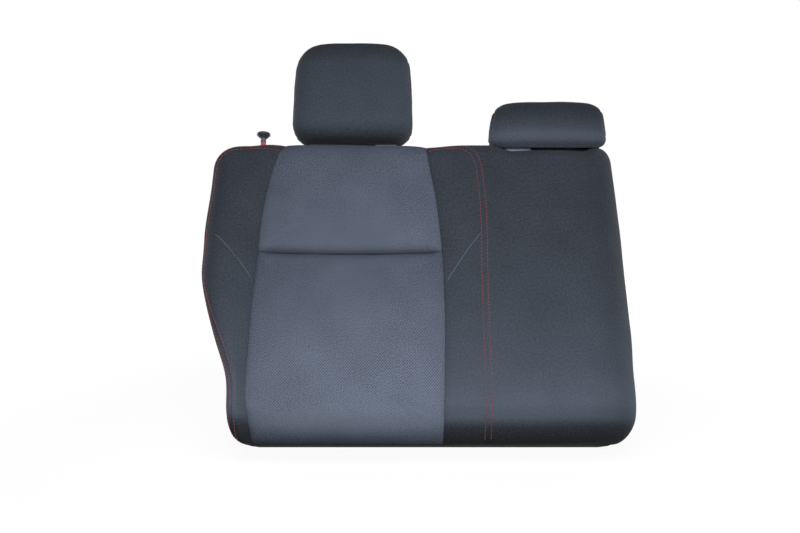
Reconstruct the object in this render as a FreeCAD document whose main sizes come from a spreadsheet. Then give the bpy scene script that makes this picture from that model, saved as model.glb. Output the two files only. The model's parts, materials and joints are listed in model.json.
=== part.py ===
import FreeCAD, Part
import math
import os
import re

import Sketcher
from FreeCAD import Placement, Rotation, Vector

# Wider section of a split rear bench backrest, held by two floor brackets.
# The backrest is described upright: X across, "depth" forward from its rear face
# (towards -Y) and "level" up along it. Its Placement then reclines it on its pivots.
# The document's origin is the centre of the four floor bolts, on the mounting plane.

SIZES = {
    # Stance on the brackets
    "recline_angle": 24,
    "pivot_height": 52,
    "pivot_reach": 80,
    "pivot_level": 30,
    "pivot_setback": 18,
    # Outline seen from the front
    "half_width": 400,
    "arch_inset": 63,
    "arch_start": 75,
    "arch_end": 315,
    "lean_start": 380,
    "shoulder_inset": 16,
    "inner_lean_start": 100,
    "inner_shoulder_inset": 15,
    "bottom_level": -10,
    "top_level": 565,
    "shoulder_radius": 50,
    "inner_shoulder_radius": 36,
    "arch_corner_radius": 50,
    "inner_corner_radius": 60,
    # Thickness and the shape of the padding
    "bottom_thickness": 127,
    "top_thickness": 90,
    "bottom_roll": 45,
    "top_roll": 28,
    "side_depth": 42,
    "side_draw_in": 12,
    "bolster_rise": 11,
    "bolster_rise_at_top": 3,
    "seam_valley": 9,
    "stitched_seam_valley": 4,
    "front_edge_drop": 5,
    "front_edge_reach": 46,
    "least_bolster": 36,
    "insert_crown": 12,
    "outer_bolster_bow": 0.132,
    "bolster_slope_bow": 0.06,
    "inner_bolster_bow": 0.08,
    "centre_panel_bow": 0.027,
    "front_edge_bow": 0.122,
    # Seams of the trim, each from the half width on its side
    "insert_outer_inset": 104,
    "insert_inner_inset": 347,
    "outer_seam_narrowing": 47,
    "inner_seam_narrowing": 29,
    "narrowing_start": 110,
    "stitched_seam_inset": 271,
    "tuck_level": 336,
    "tuck_depth": 11,
    "tuck_reach": 22,
    "trim_thickness": 2.5,
    "trim_gap": 0.3,
    # Rear panels
    "carpet_thickness": 3,
    "steel_thickness": 1.2,
    "layer_gap": 0.2,
    "rim_gap": 0.6,
    "clip_head_radius": 7,
    "clip_head_height": 1.6,
    "clip_shank_radius": 2.8,
    # Tube frame
    "hoop_radius": 11,
    "tube_wall": 1.5,
    "hoop_margin": 38,
    "hoop_bend": 45,
    "lower_tube_level": 24,
    "cross_tube_level": 300,
    "inner_tube_radius": 8,
    "weld_gap": 0.1,
    "pocket_margin": 20,
    "pocket_clearance": 0.6,
    # Floor brackets and pivots
    "bracket_inset": 110,
    "floor_bolt_reach": 20,
    "floor_bolt_pair": 36,
    "floor_bolt_radius": 5.5,
    "foot_length": 64,
    "foot_width": 44,
    "foot_thickness": 5,
    "web_thickness": 5,
    "web_eye_radius": 14,
    "web_drop_reach": 50,
    "washer_thickness": 1.3,
    "washer_radius": 15,
    "side_play": 0.2,
    "ear_thickness": 4,
    "ear_eye_radius": 15,
    "shoulder_bolt_radius": 7,
    "bush_wall": 2.2,
    "running_clearance": 0.05,
    "thread_radius": 6,
    "thread_clearance": 0.1,
    "bolt_head_radius": 11,
    "bolt_head_height": 6,
    "nut_across_flats": 19,
    "nut_height": 10,
    "slot_clearance": 1.2,
    # Head restraint guides, one pair for each head restraint
    "outboard_headrest_inset": 281,
    "centre_headrest_inset": 137,
    "post_spacing": 130,
    "post_radius": 6,
    "sleeve_wall": 2.8,
    "sleeve_fit": 0.15,
    "guide_wall": 1.5,
    "guide_length": 84,
    "guide_top_gap": 14,
    "sleeve_length": 96,
    "collar_length": 46,
    "collar_width": 26,
    "collar_height": 7,
    "collar_corner": 6,
    "channel_clearance": 12.5,
    "button_width": 14,
    "button_height": 3.8,
    "button_proud": 5,
    "button_travel": 3,
    "button_clearance": 0.3,
    # Head restraints
    "headrest_gap": 2,
    "headrest_depth": 50,
    "outboard_headrest_width": 235,
    "outboard_headrest_height": 207,
    "outboard_headrest_thickness": 96,
    "outboard_headrest_top_width": 48,
    "outboard_headrest_top_height": 60,
    "outboard_headrest_foot_width": 30,
    "outboard_headrest_foot_height": 36,
    "centre_headrest_width": 227,
    "centre_headrest_height": 79,
    "centre_headrest_thickness": 82,
    "centre_headrest_top_width": 30,
    "centre_headrest_top_height": 34,
    "centre_headrest_foot_width": 10,
    "centre_headrest_foot_height": 16,
    "headrest_taper": 0.07,
    "headrest_low_share": 0.35,
    "headrest_high_share": 0.42,
    "headrest_corner_share": 0.62,
    "headrest_front_crown": 7,
    "headrest_rear_crown": 4,
    "post_reach_down": 118,
    "bow_bend": 28,
    "bow_share": 0.55,
    "core_thickness": 34,
    "core_wall": 20,
    "core_bottom_gap": 16,
    # Latch below the release knob, and its rod
    "knob_inset": 102,
    "rod_depth": 38,
    "rod_radius": 2.5,
    "knob_travel": 10,
    "knob_radius": 13,
    "knob_height": 6,
    "knob_cone_height": 7,
    "knob_neck_radius": 5.6,
    "knob_neck_height": 8,
    "band_length": 26,
    "band_show": 13,
    "knob_seat": 0.2,
    "grommet_radius": 13,
    "grommet_height": 2.6,
    "grommet_shank_radius": 9,
    "grommet_shank_length": 16,
    "grommet_clearance": 0.4,
    "striker_drop": 35,
    "striker_radius": 5,
    "slot_half_height": 6,
    "slot_reach": 27.5,
    "claw_depth": 22,
    "claw_drop": 18,
    "claw_radius": 24,
    "claw_step_radius": 18.6,
    "claw_notch_floor": 12,
    "claw_open_angle": 50,
    "pawl_depth": 21,
    "pawl_rise": 24,
    "pawl_open_angle": 34,
    "pawl_eye_radius": 7,
    "pawl_arm_reach": 20,
    "pawl_arm_height": 5,
    "lever_thickness": 5,
    "latch_pin_radius": 3,
    "housing_width": 17,
    "housing_wall": 2.5,
    "housing_rear": 2,
    "housing_front": 50,
    "housing_below": 45,
    "housing_above": 33,
    "spring_width": 2.4,
    "spring_radius": 6.4,
    "spring_gap": 0.3,
    "rod_tip_gap": 0.5,
    "bezel_width": 60,
    "bezel_height": 26,
    "bezel_window_width": 46,
    "bezel_window_height": 14,
    "bezel_flange": 2.2,
    "bracket_plate_width": 60,
    "bracket_plate_height": 60,
    "bracket_plate_thickness": 2.5,
    "latch_screw_radius": 3,
    "latch_screw_head_radius": 6,
    "latch_screw_head_height": 4,
    "foam_room": 3,
}

os.makedirs("parts", exist_ok=True)
doc = FreeCAD.newDocument("RearBackrest")
sheet = doc.addObject("Spreadsheet::Sheet", "Sizes")
for row, (alias, number) in enumerate(SIZES.items(), start=1):
    sheet.set(f"A{row}", alias)
    sheet.set(f"B{row}", str(number))
    sheet.setAlias(f"B{row}", alias)
doc.recompute()

# Places across, each an inset from the half width: -1 on the outboard side, 1 on the inner side.
# The edges are distances from the middle, so they are positive on both sides.
PLACES = {
    "arch_edge": (1, "arch_inset"),
    "shoulder_edge": (1, "shoulder_inset"),
    "inner_shoulder_edge": (1, "inner_shoulder_inset"),
    "bracket_place": (1, "bracket_inset"),
    "insert_outer_seam": (-1, "insert_outer_inset"),
    "insert_inner_seam": (1, "insert_inner_inset"),
    "stitched_seam": (1, "stitched_seam_inset"),
    "outboard_headrest_place": (-1, "outboard_headrest_inset"),
    "centre_headrest_place": (1, "centre_headrest_inset"),
    "knob_place": (-1, "knob_inset"),
}

finished = []


def size(alias):
    """A driving size read from the spreadsheet, or a place worked out from two of them."""
    if alias in PLACES:
        side, inset = PLACES[alias]
        return side * (size("half_width") - size(inset))
    return float(sheet.get(alias))


def in_sheet(word):
    """A plain name as the spreadsheet's formulas write it."""
    if word[0] in PLACES:
        side, inset = PLACES[word[0]]
        return f"({side} * (Sizes.half_width - Sizes.{inset}))"
    return f"Sizes.{word[0]}" if word[0] in SIZES else word[0]


def formula(text):
    """The spreadsheet's form of a formula written with plain names."""
    return re.sub(r"[a-z][a-z_]*", in_sheet, text)


def bind(thing, formulas):
    """Ties each property of a document object to a formula."""
    for path, text in formulas.items():
        thing.setExpression(path, formula(text))


def seated():
    """Placement of the whole backrest: its pivot on the brackets' pivot, reclined."""
    pivot = Vector(0, size("pivot_setback"), size("pivot_level"))
    lean = Rotation(Vector(1, 0, 0), -size("recline_angle"))
    on_brackets = Vector(0, -size("pivot_reach"), size("pivot_height"))
    return Placement(on_brackets, lean) * Placement(-pivot, Rotation())


def finish(thing, label, place):
    """Names a finished sub-part and puts it in its place."""
    thing.Label = label
    thing.Placement = place
    finished.append(thing)
    return thing


def on_seat(thing, label):
    return finish(thing, label, seated())


def on_floor(thing, label):
    return finish(thing, label, Placement())


# Building blocks


def block(corner, lengths):
    """A box bound to formulas: its low corner and its three lengths."""
    thing = doc.addObject("Part::Box", "Block")
    names = ("Length", "Width", "Height")
    bind(thing, dict(zip(names, lengths)))
    bind(thing, {f"Placement.Base.{axis}": text for axis, text in zip("xyz", corner)})
    return thing


TURNS = {
    "x": Rotation(Vector(0, 1, 0), 90),
    "y": Rotation(Vector(1, 0, 0), -90),
    "z": Rotation(),
}


def round_bar(axis, start, radius, length):
    """A cylinder along an axis, bound to formulas."""
    thing = doc.addObject("Part::Cylinder", "RoundBar")
    thing.Placement = Placement(Vector(), TURNS[axis])
    bind(thing, {"Radius": radius, "Height": length})
    bind(thing, {f"Placement.Base.{name}": text for name, text in zip("xyz", start)})
    return thing


def cone(start, low_radius, high_radius, height):
    thing = doc.addObject("Part::Cone", "Cone")
    bind(thing, {"Radius1": low_radius, "Radius2": high_radius, "Height": height})
    bind(thing, {f"Placement.Base.{name}": text for name, text in zip("xyz", start)})
    return thing


def fused(*things):
    whole = doc.addObject("Part::MultiFuse", "Fused")
    whole.Shapes = list(things)
    return whole


def less(base, *tools):
    """base with the tools cut out of it."""
    rest = doc.addObject("Part::Cut", "Less")
    rest.Base = base
    rest.Tool = tools[0] if len(tools) == 1 else fused(*tools)
    return rest


def together(*things):
    """Separate solids kept as one group."""
    whole = doc.addObject("Part::Compound", "Group")
    whole.Links = list(things)
    return whole


def made(shape):
    """A document object that holds a worked-out shape."""
    thing = doc.addObject("Part::Feature", "Made")
    thing.Shape = shape
    return thing


def sketch_on(body, role, offset):
    """A sketch on one of the body's own planes, moved along the plane's normal."""
    sketch = body.newObject("Sketcher::SketchObject", "Sketch")
    plane = next(feature for feature in body.Origin.OriginFeatures if feature.Role == role)
    sketch.AttachmentSupport = [(plane, "")]
    sketch.MapMode = "FlatFace"
    bind(sketch, {"AttachmentOffset.Base.z": offset})
    return sketch


def place_point(sketch, edge, end, point):
    for kind, text in zip(("DistanceX", "DistanceY"), point):
        number = sketch.addConstraint(Sketcher.Constraint(kind, -1, 1, edge, end, 1.0))
        bind(sketch, {f"Constraints[{number}]": text})


def outline(sketch, points):
    """A closed outline whose corners are formulas."""
    first = sketch.GeometryCount
    count = len(points)
    turns = [2 * math.pi * i / count for i in range(count)]
    corners = [Vector(math.cos(turn), math.sin(turn), 0) for turn in turns]
    for i in range(count):
        sketch.addGeometry(Part.LineSegment(corners[i], corners[(i + 1) % count]), False)
    for i in range(count):
        sketch.addConstraint(Sketcher.Constraint("Coincident", first + i, 2, first + (i + 1) % count, 1))
    for i, point in enumerate(points):
        place_point(sketch, first + i, 1, point)


def rectangle(sketch, low, high):
    outline(sketch, [(low[0], low[1]), (high[0], low[1]), (high[0], high[1]), (low[0], high[1])])


def circle(sketch, centre, radius):
    edge = sketch.addGeometry(Part.Circle(Vector(), Vector(0, 0, 1), 1.0), False)
    number = sketch.addConstraint(Sketcher.Constraint("Radius", edge, 1.0))
    bind(sketch, {f"Constraints[{number}]": radius})
    place_point(sketch, edge, 3, centre)


def pad(body, sketch, length, midplane=False):
    feature = body.newObject("PartDesign::Pad", "Pad")
    feature.Profile = sketch
    feature.Midplane = midplane
    bind(feature, {"Length": length})
    sketch.Visibility = False
    return feature


def pocket_through(body, sketch):
    """Cuts the sketch's outlines right through, both ways."""
    feature = body.newObject("PartDesign::Pocket", "Pocket")
    feature.Profile = sketch
    feature.Type = 1
    feature.Midplane = True
    return feature


def new_body(name):
    return doc.addObject("PartDesign::Body", name)


# Outline and sections of the padding


def blend(share):
    """Smooth step from 0 to 1."""
    share = min(1.0, max(0.0, share))
    return (1 - math.cos(math.pi * share)) / 2


def outboard_edge(level):
    """Distance of the outboard edge from the middle: drawn in beside the wheel arch."""
    share = (level - size("arch_start")) / (size("arch_end") - size("arch_start"))
    edge = size("arch_edge") + (size("half_width") - size("arch_edge")) * blend(share)
    lean = max(0.0, level - size("lean_start")) / (size("top_level") - size("lean_start"))
    return edge - (size("half_width") - size("shoulder_edge")) * lean


def inner_edge(level):
    """Distance of the edge beside the narrower section: a slight steady lean."""
    lean = max(0.0, level - size("inner_lean_start")) / (size("top_level") - size("inner_lean_start"))
    return size("half_width") - (size("half_width") - size("inner_shoulder_edge")) * lean


def rounded(reach, level, low_radius, high_radius, inset):
    """A reach drawn back by the round corners at the bottom and top, and by the inset."""
    low_gap = level - size("bottom_level") - inset
    high_gap = size("top_level") - inset - level
    reach = reach - inset
    for gap, radius in ((low_gap, size(low_radius) - inset), (high_gap, size(high_radius) - inset)):
        if gap < radius:
            reach -= radius - math.sqrt(max(0.0, radius**2 - (radius - gap) ** 2))
    return reach


def seam_place(seam, narrowing, level):
    share = max(0.0, level - size("narrowing_start")) / (size("top_level") - size("narrowing_start"))
    return seam + narrowing * share**3


def section_points(level, inset):
    """Corners (across, depth) of the section at a level, from the outboard rear edge round the front."""
    outer = -outer_reach(level, inset)
    inner = inner_reach(level, inset)
    height = (level - size("bottom_level")) / (size("top_level") - size("bottom_level"))
    thickness = size("bottom_thickness") + (size("top_thickness") - size("bottom_thickness")) * height
    front = rounded(thickness, level, "bottom_roll", "top_roll", inset)
    rise = size("bolster_rise") + (size("bolster_rise_at_top") - size("bolster_rise")) * blend(2 * height - 1)
    outer_seam = seam_place(size("insert_outer_seam"), size("outer_seam_narrowing"), level)
    outer_seam = max(outer_seam, size("least_bolster") - outer_reach(level, 0))
    inner_seam = seam_place(size("insert_inner_seam"), -size("inner_seam_narrowing"), level)
    return [
        (outer + size("side_draw_in"), 0.0),
        (outer, size("side_depth")),
        ((outer + outer_seam) / 2, front + rise),
        (outer_seam, front - size("seam_valley")),
        (inner_seam, front - size("seam_valley")),
        (size("stitched_seam"), front - size("stitched_seam_valley")),
        (inner - size("front_edge_reach"), front - size("front_edge_drop")),
        (inner, size("side_depth")),
        (inner - size("side_draw_in"), 0.0),
    ]


def bulges(level, points):
    """How far each stretch of the section bows outwards. The insert's crown sinks at the tuck."""
    away = abs(level - size("tuck_level")) / size("tuck_reach")
    crown = size("insert_crown") - size("tuck_depth") * (1 - blend(away))
    bows = [
        "outer_bolster_bow",
        "bolster_slope_bow",
        None,
        "inner_bolster_bow",
        "centre_panel_bow",
        "front_edge_bow",
    ]
    rises = [0.0]
    for start, end, bow in zip(points[1:], points[2:], bows):
        chord = math.dist(start, end)
        # Up to here the bow stays inside the outline's edge.
        steepness = math.atan2(abs(end[0] - start[0]), abs(end[1] - start[1]))
        limit = chord / 2 * math.tan(steepness / 2)
        rises.append(min(size(bow) * chord, limit) if bow else crown)
    return rises + [0.0]


def in_space(point, level):
    return Vector(point[0], -point[1], level)


def stretch(start, end, bulge, level):
    """A straight or bowed edge between two corners of a section."""
    if bulge == 0:
        return Part.LineSegment(in_space(start, level), in_space(end, level)).toShape()
    across, along = end[0] - start[0], end[1] - start[1]
    reach = bulge / math.hypot(across, along)
    middle = ((start[0] + end[0]) / 2 - along * reach, (start[1] + end[1]) / 2 + across * reach)
    return Part.Arc(in_space(start, level), in_space(middle, level), in_space(end, level)).toShape()


def spread(start, end, steps):
    return [start + (end - start) * i / steps for i in range(steps + 1)]


def round_levels(inset):
    """Levels of the round corners, as distances in from the bottom or top."""
    radius = max(size("shoulder_radius"), size("inner_corner_radius"), size("arch_corner_radius")) - inset
    return [radius * (1 - math.cos(math.radians(angle))) for angle in (0, 20, 40, 60, 75, 90)]


def lower_levels(inset):
    """Section levels from the bottom to the tuck."""
    rolls = [size("bottom_level") + inset + step for step in round_levels(inset)]
    middle = spread(rolls[-1], size("tuck_level") - size("tuck_reach"), 6)
    return rolls + middle[1:] + [size("tuck_level") - size("tuck_reach") / 2, size("tuck_level")]


def upper_levels(inset):
    """Section levels from the tuck to the top."""
    rolls = [size("top_level") - inset - step for step in reversed(round_levels(inset))]
    middle = spread(size("tuck_level") + size("tuck_reach"), rolls[0], 4)
    return [size("tuck_level"), size("tuck_level") + size("tuck_reach") / 2] + middle[:-1] + rolls


def run_of(level, inset, first, last):
    """The section's edges from one corner to another, in either direction."""
    points = section_points(level, inset)
    rises = bulges(level, points)
    if first < last:
        return [stretch(points[i], points[i + 1], rises[i], level) for i in range(first, last)]
    return [stretch(points[i], points[i - 1], -rises[i - 1], level) for i in range(first, last, -1)]


def trim_wire(level, first, last):
    """Section of a trim panel: its face, and its back one trim thickness inside."""
    inset = size("trim_thickness")
    face = section_points(level, 0)
    back = section_points(level, inset)
    edges = run_of(level, 0, first, last)
    edges.append(stretch(face[last], back[last], 0, level))
    edges += run_of(level, inset, last, first)
    edges.append(stretch(back[first], face[first], 0, level))
    return Part.Wire(edges)


def closed_wire(level, inset):
    """Whole section of the padding, closed along the rear."""
    points = section_points(level, inset)
    edges = run_of(level, inset, 0, len(points) - 1)
    edges.append(stretch(points[-1], points[0], 0, level))
    return Part.Wire(edges)


def lofted(wires):
    return Part.makeLoft(wires, True, True)


def trim_panel(label, levels, first, last):
    return on_seat(made(lofted([trim_wire(level, first, last) for level in levels])), label)


def prism(points, depth, thickness):
    """A plate parallel to the rear face, its corners given as (across, level)."""
    corners = [Vector(across, -depth, level) for across, level in points]
    face = Part.Face(Part.makePolygon(corners + corners[:1]))
    return face.extrude(Vector(0, -thickness, 0))


def outer_reach(level, inset):
    return rounded(outboard_edge(level), level, "arch_corner_radius", "shoulder_radius", inset)


def inner_reach(level, inset):
    return rounded(inner_edge(level), level, "inner_corner_radius", "inner_shoulder_radius", inset)


def drawn_outline(margin, levels):
    """The inside of the trim drawn in by a margin, with the given levels as its corners."""
    inset = size("trim_thickness")
    left = [(margin - outer_reach(level, inset), level) for level in levels]
    right = [(inner_reach(level, inset) - margin, level) for level in levels]
    return left + right[::-1]


def space(low, high):
    """A plain box between two corners given as (across, depth, level)."""
    lengths = [high[0] - low[0], high[1] - low[1], high[2] - low[2]]
    return Part.makeBox(*lengths, Vector(low[0], -high[1], low[2]))


def upright_bar(across, depth, low, high, radius):
    return Part.makeCylinder(radius, high - low, Vector(across, -depth, low))


# Places worked out from the sizes

TRIM_BACK = size("trim_thickness") + size("trim_gap")
STEEL_FRONT = size("carpet_thickness") + size("steel_thickness") + size("layer_gap")
TUBE_DEPTH_FORMULA = "(carpet_thickness + steel_thickness + 2 * layer_gap + hoop_radius)"
TUBE_DEPTH = STEEL_FRONT + size("layer_gap") + size("hoop_radius")
POCKET_DEPTH = TUBE_DEPTH + size("hoop_radius") + size("pocket_clearance")
HOOP_TOP = size("top_level") - size("hoop_margin")
GUIDE_RADIUS = size("post_radius") + size("sleeve_wall") + size("sleeve_fit") + size("guide_wall")
GUIDE_DEPTH = TUBE_DEPTH + size("hoop_radius") + size("weld_gap") + GUIDE_RADIUS
HEADREST_PLACES = {
    "outboard": size("outboard_headrest_place"),
    "centre": size("centre_headrest_place"),
}
SIDES = {"outboard": -1, "centre": 1}
STRIKER = "(top_level - hoop_margin - hoop_radius - striker_drop)"
STRIKER_LEVEL = HOOP_TOP - size("hoop_radius") - size("striker_drop")
HOUSING_FOOT = f"({STRIKER} - housing_below)"
HOUSING_HEAD = f"({STRIKER} + housing_above)"
HOUSING_LOW = STRIKER_LEVEL - size("housing_below")
HOUSING_HIGH = STRIKER_LEVEL + size("housing_above")
CLAW_LEVEL = STRIKER_LEVEL - size("claw_drop")
PAWL_LEVEL = STRIKER_LEVEL + size("pawl_rise")


def guide_places():
    """Across positions of the four head restraint posts."""
    half = size("post_spacing") / 2
    return [place + side * half for place in HEADREST_PLACES.values() for side in (-1, 1)]


# Floor brackets, pivot bolts and nuts, fixed to the floor


def floor_bracket(name):
    """Foot plate with an upright web that reaches forward to the pivot eye."""
    side = SIDES[name]
    middle = f"({side} * bracket_place)"
    body = new_body("FloorBracket")
    foot = sketch_on(body, "XY_Plane", "0")
    outer_side = "(bracket_place + web_thickness / 2)"
    rectangle(
        foot,
        (f"{side} * ({outer_side} - foot_width)", "-foot_length / 2"),
        (f"{side} * {outer_side}", "foot_length / 2"),
    )
    pad(body, foot, "foot_thickness")
    web = sketch_on(body, "YZ_Plane", f"{middle} - web_thickness / 2")
    outline(
        web,
        [
            ("-foot_length / 2", "0"),
            ("foot_length / 2", "0"),
            ("foot_length / 2", "foot_thickness"),
            ("web_drop_reach - pivot_reach + web_eye_radius", "pivot_height * 0.62"),
            ("-pivot_reach + web_eye_radius * sin(8)", "pivot_height + web_eye_radius * cos(8)"),
            ("-pivot_reach - web_eye_radius * sin(14)", "pivot_height - web_eye_radius * cos(14)"),
            ("web_drop_reach - pivot_reach", "pivot_height - web_drop_reach * tan(14) - web_eye_radius"),
        ],
    )
    pad(body, web, "web_thickness")
    eye = sketch_on(body, "YZ_Plane", f"{middle} - web_thickness / 2")
    circle(eye, ("-pivot_reach", "pivot_height"), "web_eye_radius")
    pad(body, eye, "web_thickness")
    bore = sketch_on(body, "YZ_Plane", middle)
    circle(bore, ("-pivot_reach", "pivot_height"), "thread_radius + thread_clearance")
    pocket_through(body, bore)
    holes = sketch_on(body, "XY_Plane", "0")
    bolt_row = f"{side} * (bracket_place - floor_bolt_reach)"
    for way in (-1, 1):
        circle(holes, (bolt_row, f"{way} * floor_bolt_pair / 2"), "floor_bolt_radius")
    pocket_through(body, holes)
    return on_floor(body, f"{name}_floor_bracket")


def mirrored_bar(side, near, radius, length):
    """A bar along X on the pivot line, from its distance near to the middle outwards."""
    start = near if side > 0 else f"-({near}) - ({length})"
    return round_bar("x", (start, "-pivot_reach", "pivot_height"), radius, length)


WEB_SIDE = "(bracket_place + web_thickness / 2)"
EAR_START = f"({WEB_SIDE} + 2 * side_play + washer_thickness)"
EAR_END = f"({EAR_START} + ear_thickness)"


def pivot_bolts():
    """Shoulder bolts: head outside the ear, shoulder through it, thread through the web and nut."""
    bolts = []
    for side in SIDES.values():
        head = mirrored_bar(side, f"{EAR_END} + side_play", "bolt_head_radius", "bolt_head_height")
        shoulder = mirrored_bar(side, WEB_SIDE, "shoulder_bolt_radius", f"{EAR_END} + side_play - {WEB_SIDE}")
        thread_start = "(bracket_place - web_thickness / 2 - nut_height)"
        thread = mirrored_bar(side, thread_start, "thread_radius", f"{WEB_SIDE} - {thread_start}")
        bolts.append(fused(head, shoulder, thread))
    return on_floor(together(*bolts), "pivot_shoulder_bolts")


def pivot_nuts():
    """Hexagon nuts on the inner sides of the webs."""
    nuts = []
    for side in SIDES.values():
        hexagon = doc.addObject("Part::Prism", "Hexagon")
        hexagon.Polygon = 6
        hexagon.Placement = Placement(Vector(), TURNS["x"])
        near = "bracket_place - web_thickness / 2 - nut_height"
        start = near if side > 0 else f"-({near}) - nut_height"
        bind(hexagon, {"Circumradius": "nut_across_flats / 2 / cos(30)", "Height": "nut_height"})
        bind(hexagon, {"Placement.Base.x": start, "Placement.Base.y": "-pivot_reach"})
        bind(hexagon, {"Placement.Base.z": "pivot_height"})
        nuts.append(less(hexagon, mirrored_bar(side, near, "thread_radius + thread_clearance", "nut_height")))
    return on_floor(together(*nuts), "pivot_nuts")


for name in SIDES:
    floor_bracket(name)
pivot_bolts()
pivot_nuts()


# Hinge ears and what turns with them


def hinge_ear(name):
    """Plate welded behind the lower tube, with the eye that turns on the pivot bolt."""
    side = SIDES[name]
    offset = EAR_START if side > 0 else f"-({EAR_END})"
    body = new_body("HingeEar")
    eye = sketch_on(body, "YZ_Plane", offset)
    circle(eye, ("pivot_setback", "pivot_level"), "ear_eye_radius")
    pad(body, eye, "ear_thickness")
    arm = sketch_on(body, "YZ_Plane", offset)
    tube_rear = f"-({TUBE_DEPTH_FORMULA} - hoop_radius - weld_gap)"
    outline(
        arm,
        [
            (tube_rear, "lower_tube_level - hoop_radius * 0.4"),
            ("pivot_setback", "pivot_level - ear_eye_radius"),
            ("pivot_setback", "pivot_level + ear_eye_radius"),
            (tube_rear, "lower_tube_level + hoop_radius * 0.9"),
        ],
    )
    pad(body, arm, "ear_thickness")
    bore = sketch_on(body, "YZ_Plane", offset)
    circle(bore, ("pivot_setback", "pivot_level"), "shoulder_bolt_radius + running_clearance + bush_wall")
    pocket_through(body, bore)
    return on_seat(body, f"{name}_hinge_ear")


def ring_on_pivot(side, near, outer, inner, length):
    """A flat or long ring round the pivot line, described on the upright backrest."""
    start = near if side > 0 else f"-({near}) - ({length})"
    centre = (start, "pivot_setback", "pivot_level")
    return less(round_bar("x", centre, outer, length), round_bar("x", centre, inner, length))


for name in SIDES:
    hinge_ear(name)
BUSH_BORE = "shoulder_bolt_radius + running_clearance"
BUSH_RIM = f"{BUSH_BORE} + bush_wall - thread_clearance / 2"
BUSHES = [ring_on_pivot(side, EAR_START, BUSH_RIM, BUSH_BORE, "ear_thickness") for side in SIDES.values()]
on_seat(together(*BUSHES), "pivot_bushes")
on_seat(
    together(
        *[
            ring_on_pivot(side, f"({WEB_SIDE} + side_play)", "washer_radius", BUSH_BORE, "washer_thickness")
            for side in SIDES.values()
        ]
    ),
    "pivot_washers",
)


# Tube frame


def bent_path(corners, bend):
    """Straight runs joined by tangent arcs, through (across, level) corners at the tubes' depth."""
    points = [Vector(across, -TUBE_DEPTH, level) for across, level in corners]
    edges = []
    start = points[0]
    for before, corner, after in zip(points, points[1:], points[2:]):
        back = (before - corner).normalize()
        ahead = (after - corner).normalize()
        half = back.getAngle(ahead) / 2
        cut = bend / math.tan(half)
        arc_start = corner + back * cut
        arc_end = corner + ahead * cut
        bisector = (back + ahead).normalize()
        middle = corner + bisector * (bend / math.sin(half) - bend)
        edges.append(Part.LineSegment(start, arc_start).toShape())
        edges.append(Part.Arc(arc_start, middle, arc_end).toShape())
        start = arc_end
    edges.append(Part.LineSegment(start, points[-1]).toShape())
    return Part.Wire(edges)


def piped(path, radius):
    """A round solid swept along a path."""
    edge = path.Edges[0]
    start = edge.valueAt(edge.FirstParameter)
    way = edge.tangentAt(edge.FirstParameter)
    profile = Part.Wire(Part.makeCircle(radius, start, way))
    return path.makePipeShell([profile], True, False)


def hoop_path():
    """Up the outboard side, across the top and down the inner side."""
    margin = size("hoop_margin")
    foot = size("lower_tube_level") + size("hoop_radius") + size("weld_gap")
    right = size("inner_shoulder_edge") - margin
    corners = [
        (-(size("arch_edge") - margin), foot),
        (-(size("arch_edge") - margin), size("arch_start") + margin),
        (-(size("shoulder_edge") - margin), size("arch_end") + margin),
        (-(size("shoulder_edge") - margin), HOOP_TOP),
        (right, HOOP_TOP),
        (right, foot),
    ]
    return bent_path(corners, size("hoop_bend"))


def frame_hoop():
    path = hoop_path()
    tube = piped(path, size("hoop_radius")).cut(piped(path, size("hoop_radius") - size("tube_wall")))
    return on_seat(made(tube), "frame_hoop")


def tube(axis, start, radius, length, label):
    """A straight tube with the frame's wall."""
    bore = round_bar(axis, start, f"({radius}) - tube_wall", length)
    return on_seat(less(round_bar(axis, start, radius, length), bore), label)


frame_hoop()
TUBE_Y = f"-{TUBE_DEPTH_FORMULA}"
tube(
    "x",
    ("-(arch_edge - hoop_margin + hoop_radius * 0.7)", TUBE_Y, "lower_tube_level"),
    "hoop_radius",
    "arch_edge + inner_shoulder_edge - 2 * hoop_margin + 1.4 * hoop_radius",
    "frame_lower_tube",
)
tube(
    "z",
    ("stitched_seam", TUBE_Y, "lower_tube_level + hoop_radius + weld_gap"),
    "inner_tube_radius",
    "top_level - hoop_margin - lower_tube_level - 2 * hoop_radius - 2 * weld_gap",
    "frame_upright_tube",
)
# The cross tube starts in the middle of the hoop's slanting run.
slant = "(shoulder_edge - arch_edge) / (arch_end - arch_start)"
cross_reach = f"(arch_edge - hoop_margin + {slant} * (cross_tube_level - arch_start - hoop_margin))"
cross_length = f"{cross_reach} + stitched_seam - inner_tube_radius - weld_gap"
cross_place = (f"-{cross_reach}", TUBE_Y, "cross_tube_level")
on_seat(
    less(
        round_bar("x", cross_place, "inner_tube_radius", cross_length),
        round_bar("x", cross_place, "inner_tube_radius - tube_wall", cross_length),
        made(piped(hoop_path(), size("hoop_radius") + size("weld_gap"))),
    ),
    "frame_cross_tube",
)
on_seat(
    together(
        *[
            less(
                round_bar("z", (text, guide_y, guide_low), guide_radius, "guide_length"),
                round_bar("z", (text, guide_y, guide_low), f"{guide_radius} - guide_wall", "guide_length"),
            )
            for guide_radius in ["(post_radius + sleeve_wall + sleeve_fit + guide_wall)"]
            for guide_y in [f"-({TUBE_DEPTH_FORMULA} + hoop_radius + weld_gap + {guide_radius})"]
            for guide_low in ["top_level - guide_top_gap - guide_length"]
            for text in [
                f"{place}_headrest_place + {side} * post_spacing / 2"
                for place in HEADREST_PLACES
                for side in (-1, 1)
            ]
        ]
    ),
    "headrest_guide_tubes",
)


# Rear panels


def panel_levels():
    """Corner levels of the rear panels: the trim's own, without its two ends."""
    return lower_levels(size("trim_thickness"))[1:-1] + upper_levels(size("trim_thickness"))[:-1]


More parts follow.
